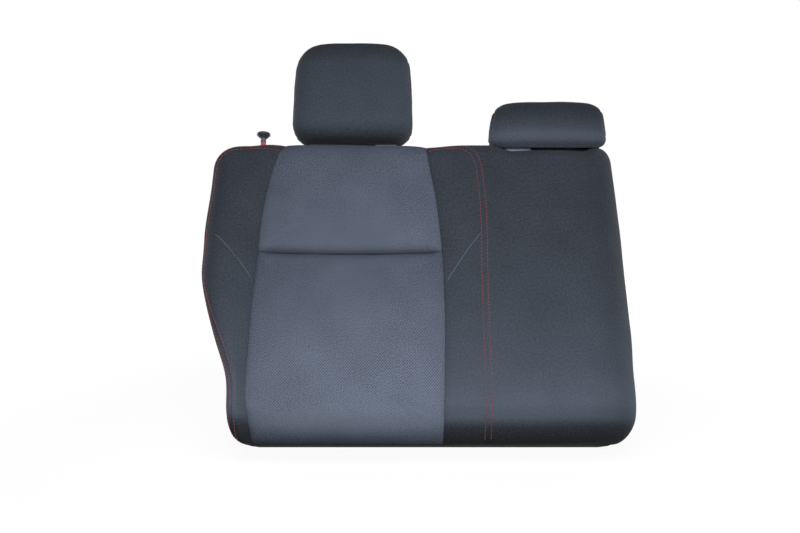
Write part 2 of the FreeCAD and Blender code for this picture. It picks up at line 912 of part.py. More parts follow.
def panel_cuts(depth, thickness):
    """Slots for the hinge ears and the window for the latch and its striker."""
    cuts = []
    room = size("slot_clearance")
    web_side = size("bracket_place") + size("web_thickness") / 2
    near = web_side + 2 * size("side_play") + size("washer_thickness")
    for side in SIDES.values():
        across = sorted((side * (near - room), side * (near + size("ear_thickness") + room)))
        low = size("pivot_level") - size("ear_eye_radius") - room
        high = size("pivot_level") + size("ear_eye_radius") + room
        cuts.append(space((across[0], depth - room, low), (across[1], depth + thickness + room, high)))
    cuts.append(latch_window(depth - room, depth + thickness + room))
    return cuts


def latch_window(start, end):
    """Opening behind the latch, wide enough for the striker's two legs."""
    half_width = size("bezel_window_width") / 2 + size("bezel_flange")
    low = HOUSING_LOW - size("slot_clearance")
    high = HOUSING_HIGH + size("slot_clearance")
    middle = size("knob_place")
    half_housing = size("housing_width") / 2 + size("slot_clearance")
    half_height = size("bezel_window_height") / 2 + size("bezel_flange")
    level = STRIKER_LEVEL
    tall = space((middle - half_housing, start, low), (middle + half_housing, end, high))
    low_corner = (middle - half_width, start, level - half_height)
    wide = space(low_corner, (middle + half_width, end, level + half_height))
    return tall.fuse(wide)


def clip_places():
    """Where the push clips hold the carpeted panel, as (across, level)."""
    edge = size("half_width") - 2 * size("hoop_margin")
    low = size("lower_tube_level") + 2 * size("hoop_margin")
    high = HOOP_TOP - size("hoop_margin")
    middle = (low + high) / 2
    across = [-size("arch_edge") + 3 * size("hoop_margin"), 0.0, edge]
    return [(place, level) for place in across for level in (low, middle, high)]


def rear_panels():
    """Carpeted board, and the pressed steel panel in front of it."""
    corners = drawn_outline(size("side_draw_in") + size("rim_gap"), panel_levels())
    carpet = prism(corners, 0, size("carpet_thickness"))
    steel_depth = size("carpet_thickness") + size("layer_gap")
    steel = prism(corners, steel_depth, size("steel_thickness"))
    shank = size("clip_shank_radius") + size("layer_gap")
    holes = [
        Part.makeCylinder(shank, 3 * STEEL_FRONT, Vector(across, STEEL_FRONT, level), Vector(0, -1, 0))
        for across, level in clip_places()
    ]
    on_seat(made(carpet.cut(panel_cuts(0, size("carpet_thickness")) + holes)), "rear_carpet_panel")
    on_seat(made(steel.cut(panel_cuts(steel_depth, size("steel_thickness")) + holes)), "steel_back_panel")


def panel_clips():
    """Push clips: a flat head behind the carpet and a shank through both panels."""
    clips = []
    for across, level in clip_places():
        head = Part.makeCylinder(
            size("clip_head_radius"),
            size("clip_head_height"),
            Vector(across, 0, level),
            Vector(0, 1, 0),
        )
        shank = Part.makeCylinder(
            size("clip_shank_radius"),
            STEEL_FRONT,
            Vector(across, 0, level),
            Vector(0, -1, 0),
        )
        clips.append(head.fuse(shank))
    return on_seat(made(Part.makeCompound(clips)), "panel_clips")


rear_panels()
panel_clips()


# Padding


def foam_hollows():
    """What the frame, guides, latch and rod need inside the foam."""
    levels = panel_levels()
    low = size("lower_tube_level") - size("hoop_radius") - size("pocket_clearance")
    high = HOOP_TOP + size("hoop_radius") + size("pocket_clearance")
    inside = [low] + [level for level in levels if low < level < high] + [high]
    hollows = [prism(drawn_outline(size("pocket_margin"), inside), 0, POCKET_DEPTH)]
    room = size("foam_room")
    channel_low = size("top_level") - size("post_reach_down") - room
    for across in guide_places():
        hollows.append(
            upright_bar(across, GUIDE_DEPTH, channel_low, size("top_level"), size("channel_clearance"))
        )
    middle = size("knob_place")
    half = size("bezel_window_width") / 2 + size("bezel_flange")
    hollows.append(
        space(
            (middle - half, 0, HOUSING_LOW - room),
            (middle + half, size("housing_front") + room, HOOP_TOP),
        )
    )
    rod_room = size("grommet_shank_radius") + size("trim_gap")
    hollows.append(upright_bar(middle, size("rod_depth"), HOOP_TOP - room, size("top_level"), rod_room))
    return hollows


def foam_pad():
    """Moulded foam between the trim and the frame, cut flat in front of the rear panels."""
    levels = lower_levels(TRIM_BACK)[:-1] + upper_levels(TRIM_BACK)
    whole = lofted([closed_wire(level, TRIM_BACK) for level in levels])
    wide = size("half_width") * 2
    tall = size("top_level") * 2
    behind = space((-wide, -1, -tall), (wide, STEEL_FRONT + size("layer_gap"), tall))
    return on_seat(made(whole.cut([behind] + foam_hollows())), "foam_pad")


def border_wires(low, high):
    return lofted([closed_wire(low, 0), closed_wire(high, 0)])


def trim_borders():
    """Flat border strips that close the trim along the bottom and the top."""
    thick = size("trim_thickness")
    low = size("bottom_level")
    high = size("top_level")
    on_seat(made(border_wires(low, low + thick)), "cover_bottom_border")
    top = border_wires(high - thick, high)
    sleeve = size("post_radius") + size("sleeve_wall") + size("trim_gap")
    ends = (high - 2 * thick, high + thick)
    holes = [upright_bar(across, GUIDE_DEPTH, *ends, sleeve) for across in guide_places()]
    shank = size("grommet_shank_radius") + size("trim_gap")
    holes.append(upright_bar(size("knob_place"), size("rod_depth"), *ends, shank))
    on_seat(made(top.cut(holes)), "cover_top_border")


foam_pad()
LOWER = lower_levels(size("trim_thickness"))
UPPER = upper_levels(size("trim_thickness"))
trim_panel("cover_outboard_bolster", LOWER[:-1] + UPPER, 0, 3)
trim_panel("cover_insert_lower", LOWER, 3, 4)
trim_panel("cover_insert_upper", UPPER, 3, 4)
trim_panel("cover_inner_bolster", LOWER[:-1] + UPPER, 4, 5)
trim_panel("cover_centre_panel", LOWER[:-1] + UPPER, 5, 8)
trim_borders()


# Head restraint guides and their lock buttons

SLEEVE_BORE = "(post_radius + running_clearance)"
SLEEVE_RIM = "(post_radius + sleeve_wall)"
GUIDE_Y = (
    f"-({TUBE_DEPTH_FORMULA} + hoop_radius + weld_gap"
    " + post_radius + sleeve_wall + sleeve_fit + guide_wall)"
)
# The button stands on the side of this post, counted from its head restraint's middle.
LOCK_SIDE = {"outboard": 1, "centre": -1}


def guide_sleeve(place, side, locking):
    """Plastic sleeve with a collar on the trim; the locking one has a channel for its button."""
    across = f"({place}_headrest_place + {side} * post_spacing / 2)"
    shaft = round_bar("z", (across, GUIDE_Y, "top_level - sleeve_length"), SLEEVE_RIM, "sleeve_length")
    collar = block(
        (f"{across} - collar_length / 2", f"{GUIDE_Y} - collar_width / 2", "top_level"),
        ("collar_length", "collar_width", "collar_height"),
    )
    rounded_collar = doc.addObject("Part::Fillet", "Collar")
    rounded_collar.Base = collar
    doc.recompute()
    upright = [
        number + 1
        for number, edge in enumerate(collar.Shape.Edges)
        if abs(edge.Vertexes[0].Z - edge.Vertexes[-1].Z) > size("collar_height") / 2
    ]
    corner = min(size("collar_corner"), size("collar_width") / 2 - 1)
    rounded_collar.Edges = [(number, corner, corner) for number in upright]
    whole = fused(shaft, rounded_collar)
    bore = round_bar(
        "z",
        (across, GUIDE_Y, "top_level - sleeve_length"),
        SLEEVE_BORE,
        "sleeve_length + collar_height",
    )
    if not locking:
        return less(whole, bore)
    start = across if side > 0 else f"{across} - collar_length"
    channel = block(
        (
            start,
            f"{GUIDE_Y} - button_width / 2 - button_clearance",
            "top_level + (collar_height - button_height) / 2 - button_clearance",
        ),
        ("collar_length", "button_width + 2 * button_clearance", "button_height + 2 * button_clearance"),
    )
    return less(whole, bore, channel)


def lock_button(place):
    """Sliding bar pressed towards the post to free its notch."""
    side = LOCK_SIDE[place]
    post = f"({place}_headrest_place + {side} * post_spacing / 2)"
    inner = "(post_radius + button_clearance + button_travel)"
    length = f"(collar_length / 2 + button_proud - {inner})"
    start = f"{post} + {inner}" if side > 0 else f"{post} - {inner} - {length}"
    bar = block(
        (start, f"{GUIDE_Y} - button_width / 2", "top_level + (collar_height - button_height) / 2"),
        (length, "button_width", "button_height"),
    )
    return on_seat(together(bar), f"{place}_lock_button")


PLAIN_SLEEVES = [guide_sleeve(place, -LOCK_SIDE[place], False) for place in HEADREST_PLACES]
LOCKING_SLEEVES = [guide_sleeve(place, LOCK_SIDE[place], True) for place in HEADREST_PLACES]
on_seat(together(*PLAIN_SLEEVES), "plain_guide_sleeves")
on_seat(together(*LOCKING_SLEEVES), "locking_guide_sleeves")
for place in HEADREST_PLACES:
    lock_button(place)


# Head restraints


HEADREST_SIZES = (
    "place",
    "width",
    "height",
    "thickness",
    "top_width",
    "top_height",
    "foot_width",
    "foot_height",
)


def headrest_sizes(place):
    return {name: size(f"{place}_headrest_{name}") for name in HEADREST_SIZES}


HEADREST_LOW = size("top_level") + size("collar_height") + size("headrest_gap")


def corner_share(gap, height):
    """How far an elliptic corner is drawn in at a gap from its end: 1 at the end, 0 past its height."""
    return 1 - math.sqrt(max(0.0, 1 - max(0.0, 1 - gap / height) ** 2))


def headrest_wire(place, level, inset):
    """Rounded section of a head restraint with a crowned front."""
    sizes = headrest_sizes(place)
    low = HEADREST_LOW + inset
    high = HEADREST_LOW + sizes["height"] - inset
    foot = corner_share(level - low, sizes["foot_height"] - inset)
    top = corner_share(high - level, sizes["top_height"] - inset)
    share = (level - HEADREST_LOW) / sizes["height"]
    half = sizes["width"] / 2 * (1 - size("headrest_taper") * share**2) - inset
    half -= foot * (sizes["foot_width"] - inset) + top * (sizes["top_width"] - inset)
    deep = sizes["thickness"] / 2 * (1 - size("headrest_taper") * share) - inset
    deep *= 1 - foot * size("headrest_low_share") - top * size("headrest_high_share")
    corner = deep * size("headrest_corner_share")
    middle = size("headrest_depth")
    left, right = sizes["place"] - half, sizes["place"] + half
    front, rear = middle + deep - size("headrest_front_crown"), middle - deep + size("headrest_rear_crown")
    bow = corner * (math.sqrt(2) - 1) / math.sqrt(2)
    corners = [
        (left, rear + corner),
        (left, front - corner),
        (left + corner, front),
        (right - corner, front),
        (right, front - corner),
        (right, rear + corner),
        (right - corner, rear),
        (left + corner, rear),
    ]
    bows = [0, bow, size("headrest_front_crown"), bow, 0, bow, size("headrest_rear_crown"), bow]
    ends = corners[1:] + corners[:1]
    return Part.Wire([stretch(start, end, bulge, level) for start, end, bulge in zip(corners, ends, bows)])


def headrest_solid(place, inset):
    sizes = headrest_sizes(place)
    low = HEADREST_LOW + inset
    high = HEADREST_LOW + sizes["height"] - inset
    angles = (0, 25, 50, 70, 90)
    shares = [1 - math.cos(math.radians(angle)) for angle in angles]
    levels = [low + (sizes["foot_height"] - inset) * share for share in shares]
    top = [high - (sizes["top_height"] - inset) * share for share in reversed(shares)]
    levels += spread(levels[-1], top[0], 3)[1:-1] + top
    return lofted([headrest_wire(place, level, inset) for level in levels])


def post_path(place, low, high):
    """Path of the bent rod: up one post, across inside the head restraint and down the other."""
    half = size("post_spacing") / 2
    middle = size(f"{place}_headrest_place")
    bend = size("bow_bend")
    left, right = middle - half, middle + half
    shift = bend * (1 - math.sqrt(0.5))

    def at(across, level):
        return Vector(across, -GUIDE_DEPTH, level)

    return Part.Wire(
        [
            Part.LineSegment(at(left, low), at(left, high - bend)).toShape(),
            Part.Arc(at(left, high - bend), at(left + shift, high - shift), at(left + bend, high)).toShape(),
            Part.LineSegment(at(left + bend, high), at(right - bend, high)).toShape(),
            Part.Arc(
                at(right - bend, high),
                at(right - shift, high - shift),
                at(right, high - bend),
            ).toShape(),
            Part.LineSegment(at(right, high - bend), at(right, low)).toShape(),
        ]
    )


def headrest(place):
    """Posts, core, foam and cover of one head restraint."""
    sizes = headrest_sizes(place)
    low = size("top_level") - size("post_reach_down")
    bow_level = HEADREST_LOW + sizes["height"] * size("bow_share")
    posts = piped(post_path(place, low, bow_level), size("post_radius"))
    on_seat(made(posts), f"{place}_headrest_posts")
    clearance = size("trim_gap")
    posts_room = piped(post_path(place, low, bow_level), size("post_radius") + clearance)
    half = size("post_spacing") / 2 + size("core_wall")
    half_thickness = size("core_thickness") / 2
    core_low = HEADREST_LOW + size("core_bottom_gap")
    core_high = bow_level + size("core_wall") / 2
    core_corners = (
        (sizes["place"] - half, GUIDE_DEPTH - half_thickness, core_low),
        (sizes["place"] + half, GUIDE_DEPTH + half_thickness, core_high),
    )
    core = space(*core_corners)
    on_seat(made(core.cut(posts_room)), f"{place}_headrest_core")
    core_room = space(
        tuple(value - clearance for value in core_corners[0]),
        tuple(value + clearance for value in core_corners[1]),
    )
    foam = headrest_solid(place, TRIM_BACK)
    on_seat(made(foam.cut([core_room, posts_room])), f"{place}_headrest_foam")
    cover = headrest_solid(place, 0).cut(headrest_solid(place, size("trim_thickness")))
    on_seat(made(cover.cut(posts_room)), f"{place}_headrest_cover")


for place in HEADREST_PLACES:
    headrest(place)


# Release knob, its rod and red band, and the grommet in the trim

ROD_Y = "-rod_depth"
BAND_TOP = "(top_level + grommet_height + band_show)"
NECK_TOP = f"({BAND_TOP} + knob_seat + knob_neck_height)"
PAWL_ARM_TIP = (
    f"({STRIKER} + pawl_rise + (rod_depth - pawl_depth) * tan(pawl_open_angle / 2)"
    " + pawl_arm_height / 2 / cos(pawl_open_angle / 2) + rod_radius * tan(pawl_open_angle / 2) + rod_tip_gap)"
)


def release_knob():
    """Mushroom knob: neck, conical underside and flat round head, bored for the rod."""
    at = ("knob_place", ROD_Y)
    neck = round_bar("z", (*at, f"{BAND_TOP} + knob_seat"), "knob_neck_radius", "knob_neck_height")
    flare = cone((*at, NECK_TOP), "knob_neck_radius", "knob_radius", "knob_cone_height")
    head = round_bar("z", (*at, f"{NECK_TOP} + knob_cone_height"), "knob_radius", "knob_height")
    blind = round_bar("z", (*at, BAND_TOP), "rod_radius + knob_seat", "knob_neck_height + knob_cone_height")
    return on_seat(less(fused(neck, flare, head), blind), "release_knob")


def release_rod():
    at = ("knob_place", ROD_Y, PAWL_ARM_TIP)
    length = f"{NECK_TOP} + knob_cone_height - 2 * knob_seat - {PAWL_ARM_TIP}"
    return on_seat(together(round_bar("z", at, "rod_radius", length)), "release_rod")


def red_band():
    at = ("knob_place", ROD_Y, f"{BAND_TOP} - band_length")
    return on_seat(
        less(
            round_bar("z", at, "knob_neck_radius", "band_length"),
            round_bar("z", at, "rod_radius + knob_seat", "band_length"),
        ),
        "unlocked_band",
    )


def grommet():
    """Plastic ring that guides the band through the trim."""
    shank = round_bar(
        "z",
        ("knob_place", ROD_Y, "top_level - grommet_shank_length"),
        "grommet_shank_radius",
        "grommet_shank_length",
    )
    flange = round_bar("z", ("knob_place", ROD_Y, "top_level"), "grommet_radius", "grommet_height")
    bore = round_bar(
        "z",
        ("knob_place", ROD_Y, "top_level - grommet_shank_length"),
        "knob_neck_radius + grommet_clearance",
        "grommet_shank_length + grommet_height",
    )
    return on_seat(less(fused(shank, flange), bore), "knob_grommet")


release_knob()
release_rod()
red_band()
grommet()


# Latch


def latch_housing():
    """Folded steel channel, open to the rear, with the slot that takes the striker bar."""
    body = new_body("LatchHousing")
    side = sketch_on(body, "YZ_Plane", "knob_place")
    outline(
        side,
        [
            ("housing_rear", HOUSING_FOOT),
            ("-housing_front", HOUSING_FOOT),
            ("-housing_front", HOUSING_HEAD),
            ("housing_rear", HOUSING_HEAD),
            ("housing_rear", f"{STRIKER} + slot_half_height"),
            ("-slot_reach", f"{STRIKER} + slot_half_height"),
            ("-slot_reach", f"{STRIKER} - slot_half_height"),
            ("housing_rear", f"{STRIKER} - slot_half_height"),
        ],
    )
    pad(body, side, "housing_width", True)
    hollow = sketch_on(body, "XY_Plane", "0")
    half = "(housing_width / 2 - housing_wall)"
    rectangle(
        hollow,
        (f"knob_place - {half}", "-housing_front + housing_wall"),
        (f"knob_place + {half}", "housing_rear + housing_wall"),
    )
    pocket_through(body, hollow)
    pins = sketch_on(body, "YZ_Plane", "knob_place")
    circle(pins, ("-claw_depth", f"{STRIKER} - claw_drop"), "latch_pin_radius + thread_clearance")
    circle(pins, ("-pawl_depth", f"{STRIKER} + pawl_rise"), "latch_pin_radius + thread_clearance")
    pocket_through(body, pins)
    return on_seat(body, "latch_housing")


def latch_pins():
    """Rivets that carry the claw and the pawl."""
    start = "knob_place - housing_width / 2"
    pins = [
        round_bar("x", (start, "-claw_depth", f"{STRIKER} - claw_drop"), "latch_pin_radius", "housing_width"),
        round_bar("x", (start, "-pawl_depth", f"{STRIKER} + pawl_rise"), "latch_pin_radius", "housing_width"),
    ]
    return on_seat(together(*pins), "latch_pins")


def lever_place(depth, level, angle):
    """Placement of a lever drawn round its own pivot, turned to its rest angle."""
    turn = Rotation(Vector(1, 0, 0), angle)
    return seated() * Placement(Vector(size("knob_place"), -depth, level), turn)


def latch_claw():
    """Forked disc, drawn locked with its notch upwards and turned open at rest."""
    body = new_body("LatchClaw")
    disc = sketch_on(body, "YZ_Plane", "0")
    circle(disc, ("0", "0"), "claw_radius")
    pad(body, disc, "lever_thickness", True)
    cuts = sketch_on(body, "YZ_Plane", "0")
    rectangle(
        cuts,
        ("-striker_radius - running_clearance * 6", "claw_notch_floor"),
        ("striker_radius + running_clearance * 6", "claw_radius * 2"),
    )
    pocket_through(body, cuts)
    step = sketch_on(body, "YZ_Plane", "0")
    outline(
        step,
        [
            ("-claw_radius * 0.36", "claw_step_radius * 0.93"),
            ("-claw_radius * 0.36", "claw_radius * 2"),
            ("-claw_radius * 2", "claw_radius * 2"),
            ("-claw_radius * 2", "0"),
            ("-claw_step_radius", "0"),
        ],
    )
    pocket_through(body, step)
    bore = sketch_on(body, "YZ_Plane", "0")
    circle(bore, ("0", "0"), "latch_pin_radius + running_clearance")
    pocket_through(body, bore)
    place = lever_place(size("claw_depth"), CLAW_LEVEL, -size("claw_open_angle"))
    return finish(body, "latch_claw", place)


def latch_pawl():
    """Lever with an arm under the rod and a tooth that holds the claw, drawn midway and turned open."""
    body = new_body("LatchPawl")
    eye = sketch_on(body, "YZ_Plane", "0")
    circle(eye, ("0", "0"), "pawl_eye_radius")
    pad(body, eye, "lever_thickness", True)
    arm = sketch_on(body, "YZ_Plane", "0")
    rectangle(arm, ("-pawl_arm_reach", "-pawl_arm_height / 2"), ("0", "pawl_arm_height / 2"))
    pad(body, arm, "lever_thickness", True)
    tooth = sketch_on(body, "YZ_Plane", "0")
    outline(
        tooth,
        [
            ("-pawl_eye_radius * 0.1", "0"),
            ("-pawl_eye_radius * 0.9", "0"),
            ("-pawl_rise * 0.74", "-pawl_rise * 0.52"),
            ("-pawl_rise * 0.64", "-pawl_rise * 0.67"),
        ],
    )
    pad(body, tooth, "lever_thickness", True)
    bore = sketch_on(body, "YZ_Plane", "0")
    circle(bore, ("0", "0"), "latch_pin_radius + running_clearance")
    pocket_through(body, bore)
    place = lever_place(size("pawl_depth"), PAWL_LEVEL, -size("pawl_open_angle") / 2)
    return finish(body, "latch_pawl", place)


def latch_springs():
    """Plain sleeves on the pins beside the claw and pawl, in place of their wound springs."""
    start = "knob_place + lever_thickness / 2 + spring_gap"
    springs = []
    pin_places = (("-claw_depth", f"{STRIKER} - claw_drop"), ("-pawl_depth", f"{STRIKER} + pawl_rise"))
    for depth, level in pin_places:
        centre = (start, depth, level)
        springs.append(
            less(
                round_bar("x", centre, "spring_radius", "spring_width"),
                round_bar("x", centre, "latch_pin_radius + thread_clearance", "spring_width"),
            )
        )
    return on_seat(together(*springs), "latch_springs")


PLATE_DEPTH = "(carpet_thickness + steel_thickness + 2 * layer_gap)"
SCREW_PLACES = [f"knob_place + {side} * bracket_plate_width * 0.36" for side in (-1, 1)]
SCREW_LEVEL = f"{HOUSING_FOOT} + bracket_plate_height * 0.2"


def latch_bracket():
    """Flat plate on the steel panel that carries the housing."""
    corner = (
        "knob_place - bracket_plate_width / 2",
        f"-{PLATE_DEPTH} - bracket_plate_thickness",
        HOUSING_FOOT,
    )
    plate = block(corner, ("bracket_plate_width", "bracket_plate_thickness", "bracket_plate_height"))
    window = made(latch_window(0, size("housing_front")))
    screws = [
        round_bar(
            "y",
            (place, f"-{PLATE_DEPTH} - 2 * bracket_plate_thickness", SCREW_LEVEL),
            "latch_screw_radius + thread_clearance",
            "bracket_plate_thickness * 4",
        )
        for place in SCREW_PLACES
    ]
    return on_seat(less(plate, window, *screws), "latch_bracket")


def latch_screws():
    """Screws through the bracket plate."""
    screws = []
    front = f"-{PLATE_DEPTH} - bracket_plate_thickness"
    height = "latch_screw_head_height"
    for place in SCREW_PLACES:
        head = round_bar("y", (place, f"{front} - {height}", SCREW_LEVEL), "latch_screw_head_radius", height)
        shank = round_bar("y", (place, front, SCREW_LEVEL), "latch_screw_radius", "bracket_plate_thickness")
        screws.append(fused(head, shank))
    return on_seat(together(*screws), "latch_screws")


def striker_bezel():
    """Plastic frame round the striker's way in, on the carpet."""
    outer = block(
        ("knob_place - bezel_width / 2", "0", f"{STRIKER} - bezel_height / 2"),
        ("bezel_width", "bezel_flange", "bezel_height"),
    )
    neck = block(
        (
            "knob_place - bezel_window_width / 2 - bezel_flange * 0.8",
            "-carpet_thickness",
            f"{STRIKER} - bezel_window_height / 2 - bezel_flange * 0.8",
        ),
        (
            "bezel_window_width + bezel_flange * 1.6",
            "carpet_thickness",
            "bezel_window_height + bezel_flange * 1.6",
        ),
    )
    window = block(
        (
            "knob_place - bezel_window_width / 2",
            "-2 * carpet_thickness",
            f"{STRIKER} - bezel_window_height / 2",
        ),
        ("bezel_window_width", "4 * carpet_thickness", "bezel_window_height"),
    )
    housing_room = block(
        (
            "knob_place - housing_width / 2 - trim_gap",
            "-2 * carpet_thickness",
            f"{HOUSING_FOOT} - trim_gap",
        ),
        (
            "housing_width + 2 * trim_gap",
            "4 * carpet_thickness",
            f"{HOUSING_HEAD} - {HOUSING_FOOT} + 2 * trim_gap",
        ),
    )
    return on_seat(less(fused(outer, neck), window, housing_room), "striker_bezel")


latch_housing()
latch_pins()
latch_claw()
latch_pawl()
latch_springs()
latch_bracket()
latch_screws()
striker_bezel()

doc.recompute()

for thing in doc.Objects:
    if {"Invalid", "Error"} & set(thing.State):
        raise RuntimeError(f"{thing.Label} ({thing.Name}) failed: {thing.State}")
for thing in finished:
    shape = thing.Shape
    if shape.isNull() or not shape.isValid() or not shape.Solids:
        raise RuntimeError(f"{thing.Label} has no valid solid")
for thing in finished:
    thing.Shape.exportStep(f"parts/{thing.Label}.step")
print(len(finished), "sub-parts written")
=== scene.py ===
import json
import math

import bmesh
import bpy
import numpy as np
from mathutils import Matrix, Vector


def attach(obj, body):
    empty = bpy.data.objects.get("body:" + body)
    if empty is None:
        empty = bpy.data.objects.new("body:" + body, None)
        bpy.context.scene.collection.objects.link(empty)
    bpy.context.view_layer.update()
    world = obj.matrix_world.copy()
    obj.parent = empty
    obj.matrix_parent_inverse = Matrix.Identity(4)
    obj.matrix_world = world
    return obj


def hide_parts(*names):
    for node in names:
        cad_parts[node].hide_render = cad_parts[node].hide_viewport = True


bl_info = {
    "name": "Folding rear backrest",
    "version": (1, 0, 0),
    "blender": (4, 5, 0),
    "location": "View3D > Sidebar > Backrest",
    "description": "Cloth, stitching and finishes for the wider section of a split rear backrest",
    "category": "Object",
}

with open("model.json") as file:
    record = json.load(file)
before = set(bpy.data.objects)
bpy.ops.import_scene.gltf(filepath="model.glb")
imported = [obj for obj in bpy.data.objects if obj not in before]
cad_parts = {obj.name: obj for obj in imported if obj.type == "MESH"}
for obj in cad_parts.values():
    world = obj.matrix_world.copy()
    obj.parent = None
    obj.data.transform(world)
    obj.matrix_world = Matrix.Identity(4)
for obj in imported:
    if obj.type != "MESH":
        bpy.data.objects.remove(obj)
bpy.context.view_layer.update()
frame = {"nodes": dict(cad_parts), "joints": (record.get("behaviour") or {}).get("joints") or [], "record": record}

# The backrest is described upright, in millimetres: across, depth forward from its rear face, and level up
# along it, the same way as its CAD source. in_row() then puts a point into the shared frame, in metres.
FOLD = next(joint for joint in frame["joints"] if joint["name"] == "fold")
SLIDE = next(joint for joint in frame["joints"] if joint["name"] == "outboard_headrest_slide")
UP = np.array(SLIDE["axis"], float)
FRONT = np.array([0.0, -UP[2], UP[1]])
PIVOT = np.array(FOLD["pos_m"], float)
PIVOT_LEVEL = 30
PIVOT_SETBACK = 18
MM = 0.001

# Outline and thickness of the padding
HALF_WIDTH = 400
OUTER_SETBACK, INNER_SETBACK = 2, 3
ARCH_EDGE = 331
ARCH_START, ARCH_END = 56, 313
LEAN_START = 380
SHOULDER_EDGE = 388
INNER_LEAN_START = 100
INNER_SHOULDER_EDGE = 385
BOTTOM, TOP = -10, 565
# Width and height of the outline's elliptic corners
SHOULDER = (40, 47)
INNER_SHOULDER = (20, 34)
ARCH_CORNER = (30, 44)
INNER_CORNER = (44, 54)
BOTTOM_THICKNESS, TOP_THICKNESS = 127, 90
# Depth and height of the rolls along the front's bottom and top edges
BOTTOM_ROLL, TOP_ROLL = (52, 64), (28, 30)
SIDE_DEPTH, SIDE_DRAW_IN = 42, 12
RISE = 11
SEAM_VALLEY, SEAM_VALLEY_AT_TOP, STITCHED_VALLEY = 9, 3, 4
FRONT_EDGE_DROP, FRONT_EDGE_REACH = 5, 46
LEAST_BOLSTER = 8
BOWS = {"slope": 0.06, "inner": 0.08, "panel": 0.027, "front_edge": 0.122}
# How far the outboard edge draws in at the foot, and below which level
OUTER_FOOT, OUTER_FOOT_LEVEL = 2.4, 70
# Height, middle and width of the bell curves by which soft padding leaves the outline and the top edge
OUTER_BELLS = ((-1.2, 100, 28), (1.3, 392, 42), (-2.7, 246, 45))
TOP_SINK_BELLS = ((4, 36, 38), (2.6, -62, 50), (1.7, -318, 22))
# The top edge's hollow below the centre head restraint: its depth, and the start and run of both its ends
HOLLOW, HOLLOW_START, HOLLOW_END = 13, (145, 50), (356, 30)

# Seams
OUTER_SEAM, OUTER_NARROWING = -296, 47
INNER_SEAM, INNER_NARROWING = 53, -29
NARROWING_START = 110
STITCHED_SEAM = 129
# How far the sewn seams lie from those two curves, at a row of levels
SEAM_LEVELS = (-10, 12, 64, 117, 171, 240, 283, 312, 372, 432, 494, 530, 565)
OUTER_SEAM_SHIFT = (8, 7, -1, -2, -1, -0.5, 1, 1, -1.5, -4, -5, -3, 2)
INNER_SEAM_SHIFT = (-3, -2.5, -1.1, 0.4, 2, 3, 3, 3.6, 2, 1, -1.7, -2.7, 0.5)
TUCK_LEVEL, TUCK_ENDS, TUCK_SAG = 338, 341, 7
# Corners of the two fine darts: across, depth and level
LEFT_DART = (
    (-366, 98, 370), (-352, 108, 355), (-334, 112, 335), (-316, 112, 315), (-302, 108, 297), (-295, 104, 285),
)  # fmt: skip
RIGHT_DART = (
    (129, 106, 379), (109, 110, 354), (91, 112, 330), (73, 111, 305), (61, 108, 288), (57, 105, 281),
)  # fmt: skip
# Across and level along the long double stitching: from the insert's top corner along the top, then down
INNER_STITCHING = (
    (25, 550), (46, 552), (69, 553), (88, 552), (101, 547), (110, 541), (117, 531), (122, 517), (125, 499),
    (128, 469), (130, 438), (130, 348), (129, 251), (129, 120), (129, 66), (128, 13), (128, -6),
)  # fmt: skip
# Seam allowances beside the seams and behind the borders, and the hem's depth from its end to the rear edge
SEAM_TURN, BORDER_TURN = 3.5, 2.5
HEM_DEPTH = np.array([7.0, 1.4, 0.4, 0.0, 0.4])

# The head restraints' middle in depth, and the shares by which they thin upwards and in their top corners
HEADREST_DEPTH = 50
HEADREST_THINNING, HEADREST_TOP_SHARE = 0.05, 0.45
# place is across, size is width, height and thickness, and low is the level of the foot. lip is how far the
# front hangs down, skew how far the top lies to one side, and taper the share by which it narrows upwards.
# top and foot are the width and height of the corners, and foot_share is how much a foot corner thins it.
# belly and crest are how far the front bows out and how high up.
HEADRESTS = {
    "outboard": {
        "place": -119,
        "size": (235, 209, 96),
        "low": 574,
        "lip": 0,
        "skew": -1,
        "taper": 0.05,
        "top": (43, 60),
        "foot": (35, 38),
        "foot_share": 0.5,
        "belly": 14,
        "crest": 0.58,
    },
    "centre": {
        "place": 263,
        "size": (227, 84, 82),
        "low": 571,
        "lip": 24,
        "skew": 4,
        "taper": 0.075,
        "top": (25, 31),
        "foot": (10, 14),
        "foot_share": 0.1,
        "belly": 7,
        "crest": 0.35,
    },
}

# Distance between a grid's points on the sides, the inserts and the head restraints, and points per section
SIDE_STEP, INSERT_STEP, HEADREST_STEP = 2.6, 2.4, 4.0
INSERT_WIDTH = 346
HEADREST_COLUMNS = 150
# The cloth simulation's frames, and the most that it may move a point
SWELL_FRAMES = 20
SWELL_LIMIT = 4.0


